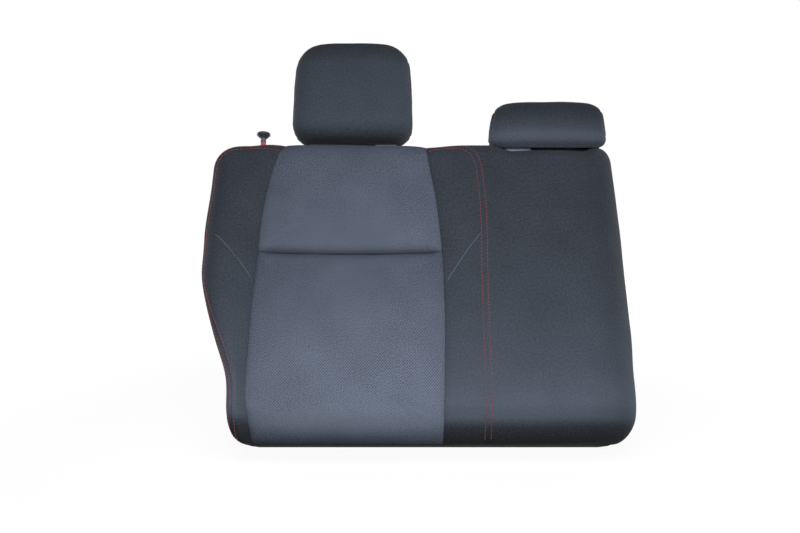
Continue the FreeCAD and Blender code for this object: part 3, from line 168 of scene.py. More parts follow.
class BackrestSewing(bpy.types.PropertyGroup):
    """Sizes of the sewing and the padding"""

    crown: bpy.props.FloatProperty(
        name="Insert crown", description="How far the inserts' middle stands out, in mm", default=12, min=0
    )
    edge_lift: bpy.props.FloatProperty(
        name="Edge lift", description="How plump the inserts are beside their seams, in mm", default=4, min=0
    )
    seam_dip: bpy.props.FloatProperty(
        name="Seam dip", description="How far the cloth is drawn in at a plain seam, in mm", default=3, min=0
    )
    tuck_depth: bpy.props.FloatProperty(
        name="Tuck depth", description="How deep the crease across the insert is, in mm", default=20, min=0
    )
    groove: bpy.props.FloatProperty(
        name="Groove", description="Depth of the groove between two stitch rows, in mm", default=1.8, min=0
    )
    row_spacing: bpy.props.FloatProperty(
        name="Row spacing", description="Distance between the two rows of stitching, in mm", default=11, min=4
    )
    pitch: bpy.props.FloatProperty(
        name="Stitch pitch", description="Distance from one stitch to the next, in mm", default=6.6, min=2
    )
    stitch: bpy.props.FloatProperty(
        name="Stitch length", description="Length of a stitch that shows, in mm", default=5.0, min=1
    )
    thread: bpy.props.FloatProperty(
        name="Thread radius", description="Radius of the decorative thread, in mm", default=0.62, min=0.2
    )
    pressure: bpy.props.FloatProperty(
        name="Padding pressure", description="Pressure of the padding behind the simulated cloth", default=4
    )


class BackrestColours(bpy.types.PropertyGroup):
    """Colours of the cloth, the threads and the plastics"""

    dark_cloth: bpy.props.StringProperty(
        name="Dark cloth", description="sRGB colour of the plain woven cloth", default="#444648"
    )
    # The bluer colour of the dark cloth's painted light at its brightest
    painted_lit_cloth: bpy.props.StringProperty(
        name="Dark cloth, painted light", description="sRGB colour of its painted light", default="#424954"
    )
    insert_light: bpy.props.StringProperty(
        name="Insert, raised threads", description="sRGB colour of the raised threads", default="#7A8496"
    )
    insert_dark: bpy.props.StringProperty(
        name="Insert, sunk threads", description="sRGB colour of the sunk threads", default="#404655"
    )
    thread: bpy.props.StringProperty(
        name="Thread", description="sRGB colour of the decorative stitching", default="#9C434C"
    )
    # The darts' thread, painted pale as the highlight along each dart's ridge
    dart_thread_and_highlight: bpy.props.StringProperty(
        name="Dart thread", description="sRGB colour of the fine sewn darts, painted pale as their highlight", default="#6C7688"
    )
    carpet: bpy.props.StringProperty(
        name="Carpet", description="sRGB colour of the rear carpet", default="#35373B"
    )
    knob: bpy.props.StringProperty(
        name="Knob", description="sRGB colour of the release knob", default="#3A4046"
    )
    stem: bpy.props.StringProperty(
        name="Stem", description="sRGB colour of the knob's stem", default="#5A6167"
    )
    red_band: bpy.props.StringProperty(
        name="Red band", description="sRGB colour of the band below the knob", default="#D25A69"
    )
    collar: bpy.props.StringProperty(
        name="Collars", description="sRGB colour of the post guides' collars", default="#59616E"
    )


def in_row(points):
    """Turns (across, depth, level) in mm into the shared frame in metres: the pivot, plus level along UP,
    plus depth along FRONT, plus across along X."""
    points = np.asarray(points, float)
    placed = PIVOT + (points[..., 2:3] - PIVOT_LEVEL) * MM * UP
    placed = placed + (points[..., 1:2] + PIVOT_SETBACK) * MM * FRONT
    placed[..., 0] += points[..., 0] * MM
    return placed


# Outline and sections, as the CAD source has them


def blend(share):
    """Half a cosine wave from 0 to 1."""
    return (1 - np.cos(np.pi * np.clip(share, 0, 1))) / 2


def bells(place, *shapes):
    """Sum of bell curves, each a height times e to the minus square of the distance from its middle over
    its width."""
    return sum(height * np.exp(-(((place - middle) / width) ** 2)) for height, middle, width in shapes)


def corner(gap, width, height, power=2.0):
    """How far a corner draws in a reach, at a gap from its end: its width times one less the root of one
    less a power of the rest of its height. A power of 2 makes it elliptic, and a smaller one flatter."""
    rest = np.clip(1 - gap / height, 0, 1)
    return width * (1 - np.maximum(1 - rest**power, 0) ** (1 / power))


def rounded(wave, power):
    """A sine or cosine raised to a power with its sign kept, for a superellipse."""
    return np.sign(wave) * np.abs(wave) ** power


def outer_reach(level):
    """Distance of the outboard edge from the middle: a cosine step over the wheel arch, then a straight
    lean, with bell curves and a foot that draws in a little."""
    widest = HALF_WIDTH - OUTER_SETBACK
    edge = ARCH_EDGE + (widest - ARCH_EDGE) * blend((level - ARCH_START) / (ARCH_END - ARCH_START))
    edge -= (widest - SHOULDER_EDGE) * np.maximum(level - LEAN_START, 0) / (TOP - LEAN_START)
    edge += bells(level, *OUTER_BELLS) - OUTER_FOOT * blend((OUTER_FOOT_LEVEL - level) / OUTER_FOOT_LEVEL)
    return edge - corner(level - BOTTOM, *ARCH_CORNER) - corner(TOP - level, *SHOULDER)


def inner_reach(level):
    """Distance of the inner edge from the middle: straight, then leaning in a little, with two cosine steps
    by which the padding swells above the foot."""
    lean = np.maximum(level - INNER_LEAN_START, 0) / (TOP - INNER_LEAN_START)
    edge = HALF_WIDTH - INNER_SETBACK - (HALF_WIDTH - INNER_SHOULDER_EDGE) * lean
    edge += 6 * blend((level + 10) / 90) + 3 * blend((level - 110) / 90) * blend((TOP - level) / 200)
    return edge - corner(level - BOTTOM, *INNER_CORNER) - corner(TOP - level, *INNER_SHOULDER)


def seam_place(level, seam, narrowing, shifts):
    """Place of a sewn seam across: straight, then narrowing by the cube of the height, plus a spline of
    shifts."""
    level = np.asarray(level, float)
    weights = spline_weights(SEAM_LEVELS, np.clip(level.ravel(), BOTTOM, TOP))
    shift = (weights @ np.array(shifts, float)).reshape(level.shape)
    narrowed = narrowing * (np.maximum(level - NARROWING_START, 0) / (TOP - NARROWING_START)) ** 3
    return seam + narrowed + shift


def outer_seam(level):
    """Seam between the outboard bolster and the insert, which leaves the bolster a least width."""
    place = seam_place(level, OUTER_SEAM, OUTER_NARROWING, OUTER_SEAM_SHIFT)
    return np.maximum(place, LEAST_BOLSTER - outer_reach(level))


def inner_seam(level):
    """Seam between the insert and the inner bolster."""
    return seam_place(level, INNER_SEAM, INNER_NARROWING, INNER_SEAM_SHIFT)


def near_top(level):
    """1 at the top edge, where the cloth is pulled straight, and 0 from 95 mm below it: a cosine step."""
    return blend((level - 470) / 85)


def valley(level):
    """How far the seams beside the insert lie below the padding's front: even, then less by a cosine
    step."""
    return SEAM_VALLEY + (SEAM_VALLEY_AT_TOP - SEAM_VALLEY) * near_top(level)


def front_depth(level):
    """Depth of the padding's front: straight from the bottom's thickness to the top's, with a rounded
    corner at each end."""
    height = (level - BOTTOM) / (TOP - BOTTOM)
    thickness = BOTTOM_THICKNESS + (TOP_THICKNESS - BOTTOM_THICKNESS) * height
    return thickness - corner(level - BOTTOM, *BOTTOM_ROLL, 1.42) - corner(TOP - level, *TOP_ROLL)


def bowed(start, end, share):
    """Middle of an arc that bows outwards from start to end by a share of their distance, held inside the
    outline."""
    across, along = end[0] - start[0], end[1] - start[1]
    steepness = np.arctan2(np.abs(across), np.abs(along))
    reach = np.minimum(share, np.tan(steepness / 2) / 2)
    return (start[0] + end[0]) / 2 - along * reach, (start[1] + end[1]) / 2 + across * reach


# Curves and grids


def spline_weights(knots, samples):
    """Natural cubic spline as a matrix that turns values at the knots into values at the samples: linear
    between two knots, plus their second derivatives times the cubes of the two shares less the shares."""
    knots, samples = np.asarray(knots, float), np.asarray(samples, float)
    count, gaps = len(knots), np.diff(knots)
    inner = np.arange(1, count - 1)
    bend, pull = np.eye(count), np.zeros((count, count))
    bend[inner, inner - 1], bend[inner, inner + 1] = gaps[:-1], gaps[1:]
    bend[inner, inner] = 2 * (gaps[:-1] + gaps[1:])
    pull[inner, inner - 1], pull[inner, inner + 1] = 6 / gaps[:-1], 6 / gaps[1:]
    pull[inner, inner] = -6 / gaps[:-1] - 6 / gaps[1:]
    curvature = np.linalg.solve(bend, pull)
    cell = np.clip(np.searchsorted(knots, samples, side="right") - 1, 0, count - 2)
    low = (knots[cell + 1] - samples) / gaps[cell]
    high = 1 - low
    weights = np.zeros((len(samples), count))
    row = np.arange(len(samples))
    weights[row, cell] += low
    weights[row, cell + 1] += high
    bow = (gaps[cell] ** 2 / 6)[:, None]
    low_bow, high_bow = (low**3 - low)[:, None], (high**3 - high)[:, None]
    return weights + bow * (low_bow * curvature[cell] + high_bow * curvature[cell + 1])


# Distances from a seam of the first columns or rows beside it
FINE = np.array([0, 0.7, 1.5, 2.5, 3.8, 5.4, 7.2])


def joined(start, end, step):
    """A start and an end of a row of places, with even places about a step apart between them."""
    count = max(2, int((end[0] - start[-1]) / step))
    return np.concatenate([start, np.linspace(start[-1], end[0], count + 1)[1:-1], end])


def graded(length, step, low=False, high=False):
    """Places from 0 to a length, about a step apart and closer together at an end with a seam."""
    start = FINE if low else FINE[:1]
    end = length - (FINE if high else FINE[:1])[::-1]
    return joined(start, end, step)


def rolled_levels(low, high, step, roll_low=True, roll_high=True):
    """Levels between two ends, closer together where the padding rolls over: the radius times one less a
    cosine."""
    roll = 60 * (1 - np.cos(np.linspace(0, math.pi / 2, 26)))
    start = low + (roll if roll_low else FINE)
    end = high - (roll if roll_high else FINE)[::-1]
    return joined(start, end, step)


def facing(points):
    """Outward unit normals of a grid, from the cross product of its two directions."""
    normal = np.cross(np.gradient(points, axis=0), np.gradient(points, axis=1))
    return normal / np.maximum(np.linalg.norm(normal, axis=-1, keepdims=True), 1e-9)


def raised(points, height):
    """A grid moved outwards along its normals by a height at each point."""
    return points + facing(points) * height[..., None]


def run_lengths(points, axis=0):
    """Distance along a path, or along one direction of a grid, added up from its start."""
    steps = np.linalg.norm(np.diff(points, axis=axis), axis=-1)
    return np.insert(np.cumsum(steps, axis=axis), 0, 0, axis=axis)


def spline_through(controls, step):
    """Points about a step apart on a natural spline through the controls."""
    controls = np.asarray(controls, float)
    knots = run_lengths(controls)
    return spline_weights(knots, np.linspace(0, knots[-1], int(knots[-1] / step) + 1)) @ controls


def distance_to(path, points):
    """Distance of every grid point from the nearest point of a path."""
    nearest = np.full(points.shape[:-1], np.inf)
    for place in path:
        nearest = np.minimum(nearest, ((points - place) ** 2).sum(-1))
    return np.sqrt(nearest)


def settled(guide, points):
    """Puts a guide's points onto a grid, each on the tangent plane of the nearest grid point, with its
    normal."""
    flat, normals = points.reshape(-1, 3), facing(points).reshape(-1, 3)
    nearest = np.array([np.argmin(((flat - place) ** 2).sum(1)) for place in guide])
    normal = normals[nearest]
    return guide - ((guide - flat[nearest]) * normal).sum(1)[:, None] * normal, normal


def beside(path, points, offset):
    """A path moved sideways over a grid by an offset, and settled on it again."""
    path, normal = settled(path, points)
    way = np.gradient(path, axis=0)
    side = np.cross(normal, way)
    side /= np.linalg.norm(side, axis=1, keepdims=True)
    return settled(path + side * offset, points)[0]


def unevenness(points, seed, wave=95.0):
    """Slight unevenness of hand-fitted padding, from -1 to 1: six sine waves of seeded direction, length
    and phase."""
    draw = np.random.default_rng(seed)
    total = np.zeros(points.shape[:-1])
    for _ in range(6):
        angle, phase = draw.uniform(0, 2 * math.pi, 2)
        length = wave * draw.uniform(0.6, 1.7)
        place = points[..., 0] * math.cos(angle) + points[..., 2] * math.sin(angle)
        total += np.sin(place * 2 * math.pi / length + phase)
    return total / 6


def gathers(level, seed):
    """Small gathers along a seam, from 0.75 to 1.25: two sine waves with seeded phases."""
    first, second = np.random.default_rng(seed).uniform(0, 2 * math.pi, 2)
    waves = np.sin(level * 2 * math.pi / 17 + first) + np.sin(level * 2 * math.pi / 27 + second)
    return 1 + 0.25 * waves / 2


def tucked_edges(points, sewing):
    """Draws the cloth in at the bottom and top border seams by a dip times e to the minus distance round
    the padding's roll, whose radius times an arc cosine that distance is, and lets the top edge sink."""
    across, level = points[..., 0], points[..., 2].copy()
    low = BOTTOM_ROLL[0] * np.arccos(np.clip(1 - (level - BOTTOM) / BOTTOM_ROLL[1], -1, 1))
    high = TOP_ROLL[0] * np.arccos(np.clip(1 - (TOP - level) / TOP_ROLL[1], -1, 1))
    points = points.copy()
    points[..., 2] += border_dip(sewing) * (np.exp(-low / 4) - np.exp(-high / 4))
    points[..., 2] -= top_sink(across) * blend((level - 500) / 60)
    points[..., 2] += bottom_lift(across) * blend((50 - level) / 60)
    return points


def border_dip(sewing):
    """How far the cloth is drawn in at the borders' seams."""
    return sewing.seam_dip * 0.8


def bottom_lift(across):
    """How far the bottom's front edge rises towards its two ends, a parabola."""
    return 2.2 * (across / HALF_WIDTH) ** 2


def top_sink(across):
    """How far the top's front edge sinks: a little all along, more at the insert's inner corner and below
    the head restraints, by bell curves and two cosine steps."""
    start, end = (across - HOLLOW_START[0]) / HOLLOW_START[1], (HOLLOW_END[0] - across) / HOLLOW_END[1]
    return 1.3 + bells(across, *TOP_SINK_BELLS) + HOLLOW * blend(start) * blend(end)


def settled_share(level):
    """0 at the top and bottom borders, where the cloth is held straight, and 1 away from them."""
    return blend((level - BOTTOM - 8) / 45) * blend((TOP - 8 - level) / 45)


def with_turns(points, start=False, end=False):
    """Adds seam allowances turned into the padding: behind the first and last row, and beside the first or
    last column."""
    low, high = points[:1].copy(), points[-1:].copy()
    low[..., 2] += BORDER_TURN
    high[..., 2] -= BORDER_TURN
    points = np.concatenate([low, points, high])
    first, last = points[:, :1].copy(), points[:, -1:].copy()
    first[..., 1] -= SEAM_TURN
    last[..., 1] -= SEAM_TURN
    parts = [points]
    if start:
        parts.insert(0, first)
    if end:
        parts.append(last)
    return np.concatenate(parts, axis=1)


def grid_faces(rows, columns, ring=False):
    """Four-sided faces between the neighbours of a grid, whose last column meets its first in a ring."""
    index = np.arange(rows * columns).reshape(rows, columns)
    if ring:
        index = np.concatenate([index, index[:, :1]], axis=1)
    return np.stack([index[:-1, :-1], index[:-1, 1:], index[1:, 1:], index[1:, :-1]], axis=-1).reshape(-1, 4)


def grid_piece(name, points, uv, body, replaced, slot, finish=None, closed=False):
    """Makes a piece from a grid of (across, depth, level) points, with its map in metres of cloth."""
    faces = grid_faces(*points.shape[:2])
    return mesh_piece(name, points, faces, body, replaced, slot, finish, uv.reshape(-1, 2), closed)


def mesh_piece(name, points, faces, body, replaced, slot, finish=None, uv=None, closed=False):
    """Puts worked-out points and faces into a mesh object that rides on a body. Its finish is its slot's,
    unless another is named."""
    places = in_row(points).reshape(-1, 3)
    mesh = bpy.data.meshes.new(name)
    mesh.vertices.add(len(places))
    mesh.vertices.foreach_set("co", places.astype(np.float32).ravel())
    mesh.loops.add(faces.size)
    mesh.loops.foreach_set("vertex_index", faces.astype(np.int32).ravel())
    mesh.polygons.add(len(faces))
    mesh.polygons.foreach_set("loop_start", np.arange(0, faces.size, faces.shape[1], dtype=np.int32))
    mesh.update(calc_edges=True)
    if uv is not None:
        layer = mesh.uv_layers.new(name="ClothMap")
        layer.data.foreach_set("uv", uv[faces.ravel()].astype(np.float32).ravel())
    if closed:
        shell = bmesh.new()
        shell.from_mesh(mesh)
        bmesh.ops.remove_doubles(shell, verts=shell.verts, dist=1e-6)
        shell.to_mesh(mesh)
        shell.free()
    mesh.validate()
    mesh.shade_smooth()
    piece = bpy.data.objects.new(name, mesh)
    bpy.context.scene.collection.objects.link(piece)
    mesh.materials.append(MATERIALS[finish or slot])
    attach(piece, body)
    if replaced:
        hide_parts(*replaced)
    return piece


def cloth_piece(name, points, uv, replaced, slot="dark_cloth"):
    """Sews a padded piece of the backrest's cover."""
    grid_piece(name, points, uv, "backrest", replaced, slot)


def padded_swell(points, pressure):
    """Swells a coarse grid as cloth with padding behind it, its edges held, and returns how far each point
    moves in mm."""
    rows, columns = points.shape[:2]
    start = in_row(points).reshape(-1, 3)
    mesh = bpy.data.meshes.new("swell")
    mesh.from_pydata(start.tolist(), [], grid_faces(rows, columns).tolist())
    cloth_object = bpy.data.objects.new("swell", mesh)
    bpy.context.scene.collection.objects.link(cloth_object)
    pinned = np.ones((rows, columns), bool)
    pinned[1:-1, 1:-1] = False
    pins = cloth_object.vertex_groups.new(name="pins")
    pins.add(np.flatnonzero(pinned.ravel()).tolist(), 1.0, "REPLACE")
    modifier = cloth_object.modifiers.new("Cloth", "CLOTH")
    settings = modifier.settings
    settings.quality = 6
    settings.mass = 0.3
    settings.tension_stiffness = 30
    settings.compression_stiffness = 12
    settings.shear_stiffness = 8
    settings.bending_stiffness = 0.5
    settings.vertex_group_mass = "pins"
    settings.use_pressure = True
    settings.uniform_pressure_force = pressure
    settings.effector_weights.gravity = 0
    modifier.collision_settings.use_collision = False
    scene = bpy.context.scene
    for number in range(1, SWELL_FRAMES + 1):
        scene.frame_set(number)
    evaluated = cloth_object.evaluated_get(bpy.context.evaluated_depsgraph_get())
    end = np.zeros(len(start) * 3, np.float32)
    evaluated.data.vertices.foreach_get("co", end)
    scene.frame_set(1)
    bpy.data.objects.remove(cloth_object)
    bpy.data.meshes.remove(mesh)
    moved = (end.reshape(-1, 3) - start) / MM
    moved *= np.minimum(1, SWELL_LIMIT / np.maximum(np.linalg.norm(moved, axis=1, keepdims=True), 1e-9))
    # Back to the upright backrest's own directions
    upright = np.stack([moved[:, 0], moved @ FRONT, moved @ UP], axis=1)
    return upright.reshape(rows, columns, 3)


# Materials

MATERIALS = {}

# The painted light and shade of each cloth: a tone from 0, dark, to 1, light, by its height on the cloth map in
# metres, straight between these stops. Painted light makes the cloth lighter low down, and painted shade darkens
# it at the bottom edge, at and below the tuck, and at each head restraint's foot and top. A head restraint's own
# map starts at its foot.
PAINTED_SHADING = {
    "dark_cloth": (
        (0.016, 0), (0.053, 0.2), (0.062, 0.42), (0.075, 0.86), (0.11, 0.85), (0.16, 0.65), (0.28, 0.44),
        (0.4, 0.35), (0.57, 0.33),
    ),
    "outboard_headrest": (
        (0.03, 0.16), (0.042, 0.28), (0.06, 0.5), (0.07, 0.58), (0.19, 0.57), (0.215, 0.43), (0.24, 0.32),
    ),
    "centre_headrest": (
        (0.053, 0.29), (0.064, 0.8), (0.073, 0.92), (0.09, 0.6), (0.105, 0.44), (0.121, 0.31), (0.14, 0.27),
    ),
    "patterned_cloth": (
        (-0.015, 0.2), (0.022, 0.86), (0.045, 0.86), (0.065, 0.71), (0.15, 0.57), (0.3, 0.29), (0.325, 0.3),
        (0.339, 0.19), (0.368, 0.5), (0.4, 0.45), (0.56, 0.36),
    ),
}  # fmt: skip
# How strong the patterned cloth's figure is, by height in the same way
FIGURE_STRENGTH = ((0.08, 0.82), (0.22, 0.56), (0.33, 0.55), (0.4, 0.43), (0.56, 0.45))


def linear(colour):
    """An sRGB hex colour as linear values for a shader socket."""
    values = [int(colour[place : place + 2], 16) / 255 for place in (1, 3, 5)]
    return (*[v / 12.92 if v <= 0.04045 else ((v + 0.055) / 1.055) ** 2.4 for v in values], 1.0)


def shade(colour, factor):
    """A hex colour made lighter or darker by a factor on its linear values."""
    return (*[min(1.0, value * factor) for value in linear(colour)[:3]], 1.0)


def add(tree, kind, sockets=None, stops=(), **settings):
    """Adds a node with its settings and a ramp's stops, its inputs filled with values or linked from other
    nodes: from a node's first output, or from the socket that is given."""
    node = tree.nodes.new(f"ShaderNode{kind}")
    for name, value in settings.items():
        setattr(node, name, value)
    for name, value in (sockets or {}).items():
        if isinstance(value, bpy.types.Node):
            value = value.outputs[0]
        if isinstance(value, bpy.types.NodeSocket):
            tree.links.new(value, node.inputs[name])
        else:
            node.inputs[name].default_value = value
    for number, (place, colour) in enumerate(stops):
        # A new ramp has two elements.
        elements = node.color_ramp.elements
        element = elements[number] if number < 2 else elements.new(place)
        element.position, element.color = place, colour
    return node


def emptied(owner):
    """The node tree of a material or a world, with nothing in it."""
    owner.use_nodes = True
    owner.node_tree.nodes.clear()
    return owner.node_tree


def finished(material, tree, sockets):
    """Ends a material with one principled shader."""
    add(tree, "OutputMaterial", {"Surface": add(tree, "BsdfPrincipled", sockets)})
    return material


def tone_at(tree, height, stops):
    """The tone at a height, straight between the stops, all moved up so that a ramp can start below 0."""
    moved = 0.05
    raised_height = add(tree, "Math", {0: height, 1: moved}, operation="ADD")
    greys = [(place + moved, (tone, tone, tone, 1)) for place, tone in stops]
    return add(tree, "ValToRGB", {0: raised_height}, greys)


def plain_weave(tree, along, up, _height):
    """Threads over and under each other, the same at every height: the product of two sine waves."""
    waves = [add(tree, "Math", {0: phase}, operation="SINE") for phase in (along, up)]
    return add(tree, "Math", {0: waves[0], 1: waves[1]}, operation="MULTIPLY")


def dobby_weave(tree, along, up, height):
    """Raised threads that form small lozenges, and stronger slanting ribs lower down: sine waves of the two
    phases' difference and sum, the second one with a share that grows upwards."""
    ribs, crossing = [
        add(tree, "Math", {0: add(tree, "Math", {0: along, 1: up}, operation=way)}, operation="SINE")
        for way in ("SUBTRACT", "ADD")
    ]
    ends = {"From Min": 0.12, "From Max": 0.25, "To Min": 0.6, "To Max": 0.85}
    share = add(tree, "MapRange", {"Value": height, **ends})
    figure = add(tree, "Math", {0: crossing, 1: share, 2: ribs}, operation="MULTIPLY_ADD")
    return add(tree, "Math", {0: figure, 1: tone_at(tree, height, FIGURE_STRENGTH)}, operation="MULTIPLY")


def woven(name, weave, repeat, amplitude, noises, stops, ends, relief):
    """Woven polyester, piece dyed: matt, with a soft sheen at glancing angles. Its tone is the painted light and
    shade for its height, plus its weave, plus a fine mottle and wide patches of noise, and its relief is the
    weave and the mottle."""
    material = bpy.data.materials.new(name)
    tree = emptied(material)
    cloth = add(tree, "UVMap", uv_map="ClothMap")
    place = add(tree, "SeparateXYZ", {0: cloth})
    along, up = [
        add(tree, "Math", {0: place.outputs[axis], 1: 2 * math.pi / length}, operation="MULTIPLY")
        for axis, length in enumerate(repeat)
    ]
    figure = weave(tree, along, up, place.outputs[1])
    # Painted light and shade by height on the cloth map
    tone = tone_at(tree, place.outputs[1], stops)
    tone = add(tree, "Math", {0: figure, 1: amplitude, 2: tone}, operation="MULTIPLY_ADD")
    grains = []
    for scale, detail, roughness, share in noises:
        size = {"Scale": scale, "Detail": detail, "Roughness": roughness}
        grain = add(tree, "TexNoise", {"Vector": cloth, **size})
        uneven = add(tree, "Math", {0: grain, 1: 0.5}, operation="SUBTRACT")
        tone = add(tree, "Math", {0: uneven, 1: share, 2: tone}, operation="MULTIPLY_ADD")
        grains.append(grain)
    ramp = add(tree, "ValToRGB", {0: tone}, enumerate(ends))
    height = add(tree, "Math", {0: figure, 1: 0.5, 2: grains[0]}, operation="MULTIPLY_ADD")
    bump = add(tree, "Bump", {"Strength": relief[0], "Distance": relief[1], "Height": height})
    gloss = {"Roughness": 0.9, "Sheen Weight": 0.05, "Sheen Roughness": 0.5, "Specular IOR Level": 0.1}
    return finished(material, tree, {"Base Color": ramp, "Normal": bump, **gloss})


def plain_cloth(name, colours, stops):
    """Plain woven polyester, finely mottled. The threads are 0.5 mm apart, and they are drawn 1.5 mm apart
    so that they show."""
    # The ramp runs from the painted shade's darkest, the dark cloth darkened, to the painted light's brightest,
    # the lit colour brightened
    ends = (shade(colours.dark_cloth, 0.3), shade(colours.painted_lit_cloth, 2.1))
    noises = ((260, 3, 0.7, 0.85), (14, 2, 0.5, 0.18))
    return woven(name, plain_weave, (0.0015, 0.0015), 0.035, noises, stops, ends, (0.35, 0.0005))


def patterned_cloth(colours):
    """Dobby-woven polyester. The repeat is 4.8 by 5.5 mm, its true size."""
    # The ramp spans the sunk and raised threads' colours, and the painted light and shade by height moves the tone
    # between them too
    ends = (linear(colours.insert_dark), linear(colours.insert_light))
    noises = ((420, 2, 0.6, 2.2), (12, 2, 0.5, 0.4))
    name, stops = "Dobby-woven polyester", PAINTED_SHADING["patterned_cloth"]
    return woven(name, dobby_weave, (0.0048, 0.0055), 0.3, noises, stops, ends, (0.4, 0.0006))


def moulded(name, colour, roughness, grain, depth, variation=0.08):
    """Moulded or coated surface: an even colour with a fine grain in its tone and a slight relief."""
    material = bpy.data.materials.new(name)
    tree = emptied(material)
    place = add(tree, "TexCoord").outputs["Object"]
    texture = add(tree, "TexNoise", {"Vector": place, "Scale": grain, "Detail": 3, "Roughness": 0.6})
    ends = (shade(colour, 1 - variation), shade(colour, 1 + variation))
    ramp = add(tree, "ValToRGB", {0: texture}, enumerate(ends))
    bump = add(tree, "Bump", {"Strength": 0.3, "Distance": depth, "Height": texture})
    sockets = {"Base Color": ramp, "Roughness": roughness, "Specular IOR Level": 0.45, "Normal": bump}
    return finished(material, tree, sockets)


def metal(name, colour, roughness, stretch):
    """Drawn, rolled or plated steel: metallic, with fine marks along its length in the gloss."""
    material = bpy.data.materials.new(name)
    tree = emptied(material)
    place = add(tree, "TexCoord").outputs["Object"]
    drawn = add(tree, "Mapping", {"Vector": place, "Scale": stretch})
    texture = add(tree, "TexNoise", {"Vector": drawn, "Scale": 90, "Detail": 4})
    ends = {"To Min": roughness * 0.7, "To Max": roughness * 1.3}
    gloss = add(tree, "MapRange", {"Value": texture, **ends})
    return finished(material, tree, {"Metallic": 1.0, "Base Color": linear(colour), "Roughness": gloss})


def felt(colour):
    """Needle-punched polyester felt on the load side: short crossing fibres with no direction and no
    gloss."""
    material = bpy.data.materials.new("Needle-punched felt")
    tree = emptied(material)
    place = add(tree, "TexCoord").outputs["Object"]
    fibres = add(tree, "TexNoise", {"Vector": place, "Scale": 420, "Detail": 4, "Distortion": 1.6})
    clumps = add(tree, "TexNoise", {"Vector": place, "Scale": 45, "Detail": 3})
    tone = add(tree, "Math", {0: clumps, 1: 0.35}, operation="MULTIPLY")
    tone = add(tree, "Math", {0: fibres, 1: 0.65, 2: tone}, operation="MULTIPLY_ADD")
    ramp = add(tree, "ValToRGB", {0: tone}, ((0.3, shade(colour, 0.55)), (0.72, shade(colour, 1.6))))
    bump = add(tree, "Bump", {"Strength": 0.7, "Distance": 0.001, "Height": tone})
    gloss = {"Roughness": 0.97, "Sheen Weight": 0.35, "Specular IOR Level": 0.15}
    return finished(material, tree, {"Base Color": ramp, "Normal": bump, **gloss})


def sewing_thread(name, colour):
    """Twisted polyester sewing thread: its plies show as a fine light and dark along each stitch."""
    material = bpy.data.materials.new(name)
    tree = emptied(material)
    place = add(tree, "TexCoord").outputs["Object"]
    plies = add(tree, "TexNoise", {"Vector": place, "Scale": 900, "Detail": 2})
    ramp = add(tree, "ValToRGB", {0: plies}, enumerate((shade(colour, 0.75), shade(colour, 1.25))))
    gloss = {"Roughness": 0.6, "Sheen Weight": 0.15, "Specular IOR Level": 0.35}
    return finished(material, tree, {"Base Color": ramp, **gloss})


def make_materials(colours):
    """Makes every finish: cloth, foam, felt, plastics, steels and threads."""
    # The dark cloth, and a copy of it for each head restraint with its own painted light and shade by height
    cloths = (
        ("dark_cloth", "Woven polyester, dark"),
        ("outboard_headrest", "Woven polyester, outboard head restraint"),
        ("centre_headrest", "Woven polyester, centre head restraint"),
    )
    for key, name in cloths:
        MATERIALS[key] = plain_cloth(name, colours, PAINTED_SHADING[key])
    MATERIALS["patterned_cloth"] = patterned_cloth(colours)
    # Each with its key, name, colour, roughness, grain and relief, and how much its tone varies
    plastics = (
        # Cold-cured polyurethane foam: a pale skin with fine pores.
        ("foam", "Moulded foam", "#C9BE9C", 0.95, 260, 0.0008, 0.15),
        # Collars and grommet: moulded with a satin grain.
        ("grey_plastic", "Polyamide, satin grey", colours.collar, 0.5, 700, 0.0002),
        # The same plastic painted paler: painted light on the collar foot, which lies in the shade of the centre
        # head restraint's lip.
        ("painted_lit_plastic", "Polyamide, grey, painted light", "#8C98B4", 0.45, 700, 0.0002),
        # Knob and clips: moulded with a smooth satin face.
        ("dark_plastic", "ABS, satin dark", colours.knob, 0.38, 800, 0.0001),
        ("stem", "ABS, satin pale grey", colours.stem, 0.42, 800, 0.0001),
        # Dyed through: brighter and glossier than the plastics round it, so that it warns.
        ("red_plastic", "Polypropylene, red", colours.red_band, 0.32, 500, 0.0001, 0.05),
        # Cathodic dip paint on steel: thin, black and half gloss.
        ("black_steel", "Dip-painted steel, black", "#1C1D1F", 0.45, 350, 0.0002, 0.12),
    )
    for key, *finish in plastics:
        MATERIALS[key] = moulded(*finish)
    # Chrome on polished tube: nearly a mirror.
    MATERIALS["bright_steel"] = metal("Chrome-plated steel", "#C9CACB", 0.1, (1, 1, 0.1))
    # Zinc on rolled steel: a dull, slightly uneven grey.
    MATERIALS["zinc_steel"] = metal("Zinc-plated steel", "#A9AAA8", 0.42, (1, 1, 1))
    MATERIALS["carpet"] = felt(colours.carpet)
    MATERIALS["thread"] = sewing_thread("Polyester thread, red", colours.thread)
    # Painted pale as the highlight along the darts' ridges
    MATERIALS["dart_thread_and_highlight"] = sewing_thread("Polyester thread, grey, painted highlight", colours.dart_thread_and_highlight)


# Pieces of the trim

# Finished grids, and the seams on them, that later pieces are fitted to
GRIDS = {}
LEVELS = rolled_levels(BOTTOM, TOP, SIDE_STEP)


def hem_and(points, side):
    """Adds the cloth's hem to the rear end of a strip: round the rear edge and in beside the carpet."""
    reach = np.array([14.8, 14.8, 14.3, 13.4, 12.5])
    edge = (outer_reach(LEVELS) if side < 0 else inner_reach(LEVELS))[:, None]
    hem = np.stack(np.broadcast_arrays(side * (edge - reach), HEM_DEPTH, LEVELS[:, None]), axis=-1)
    return np.concatenate([hem, points] if side < 0 else [points, hem[:, ::-1]], axis=1)


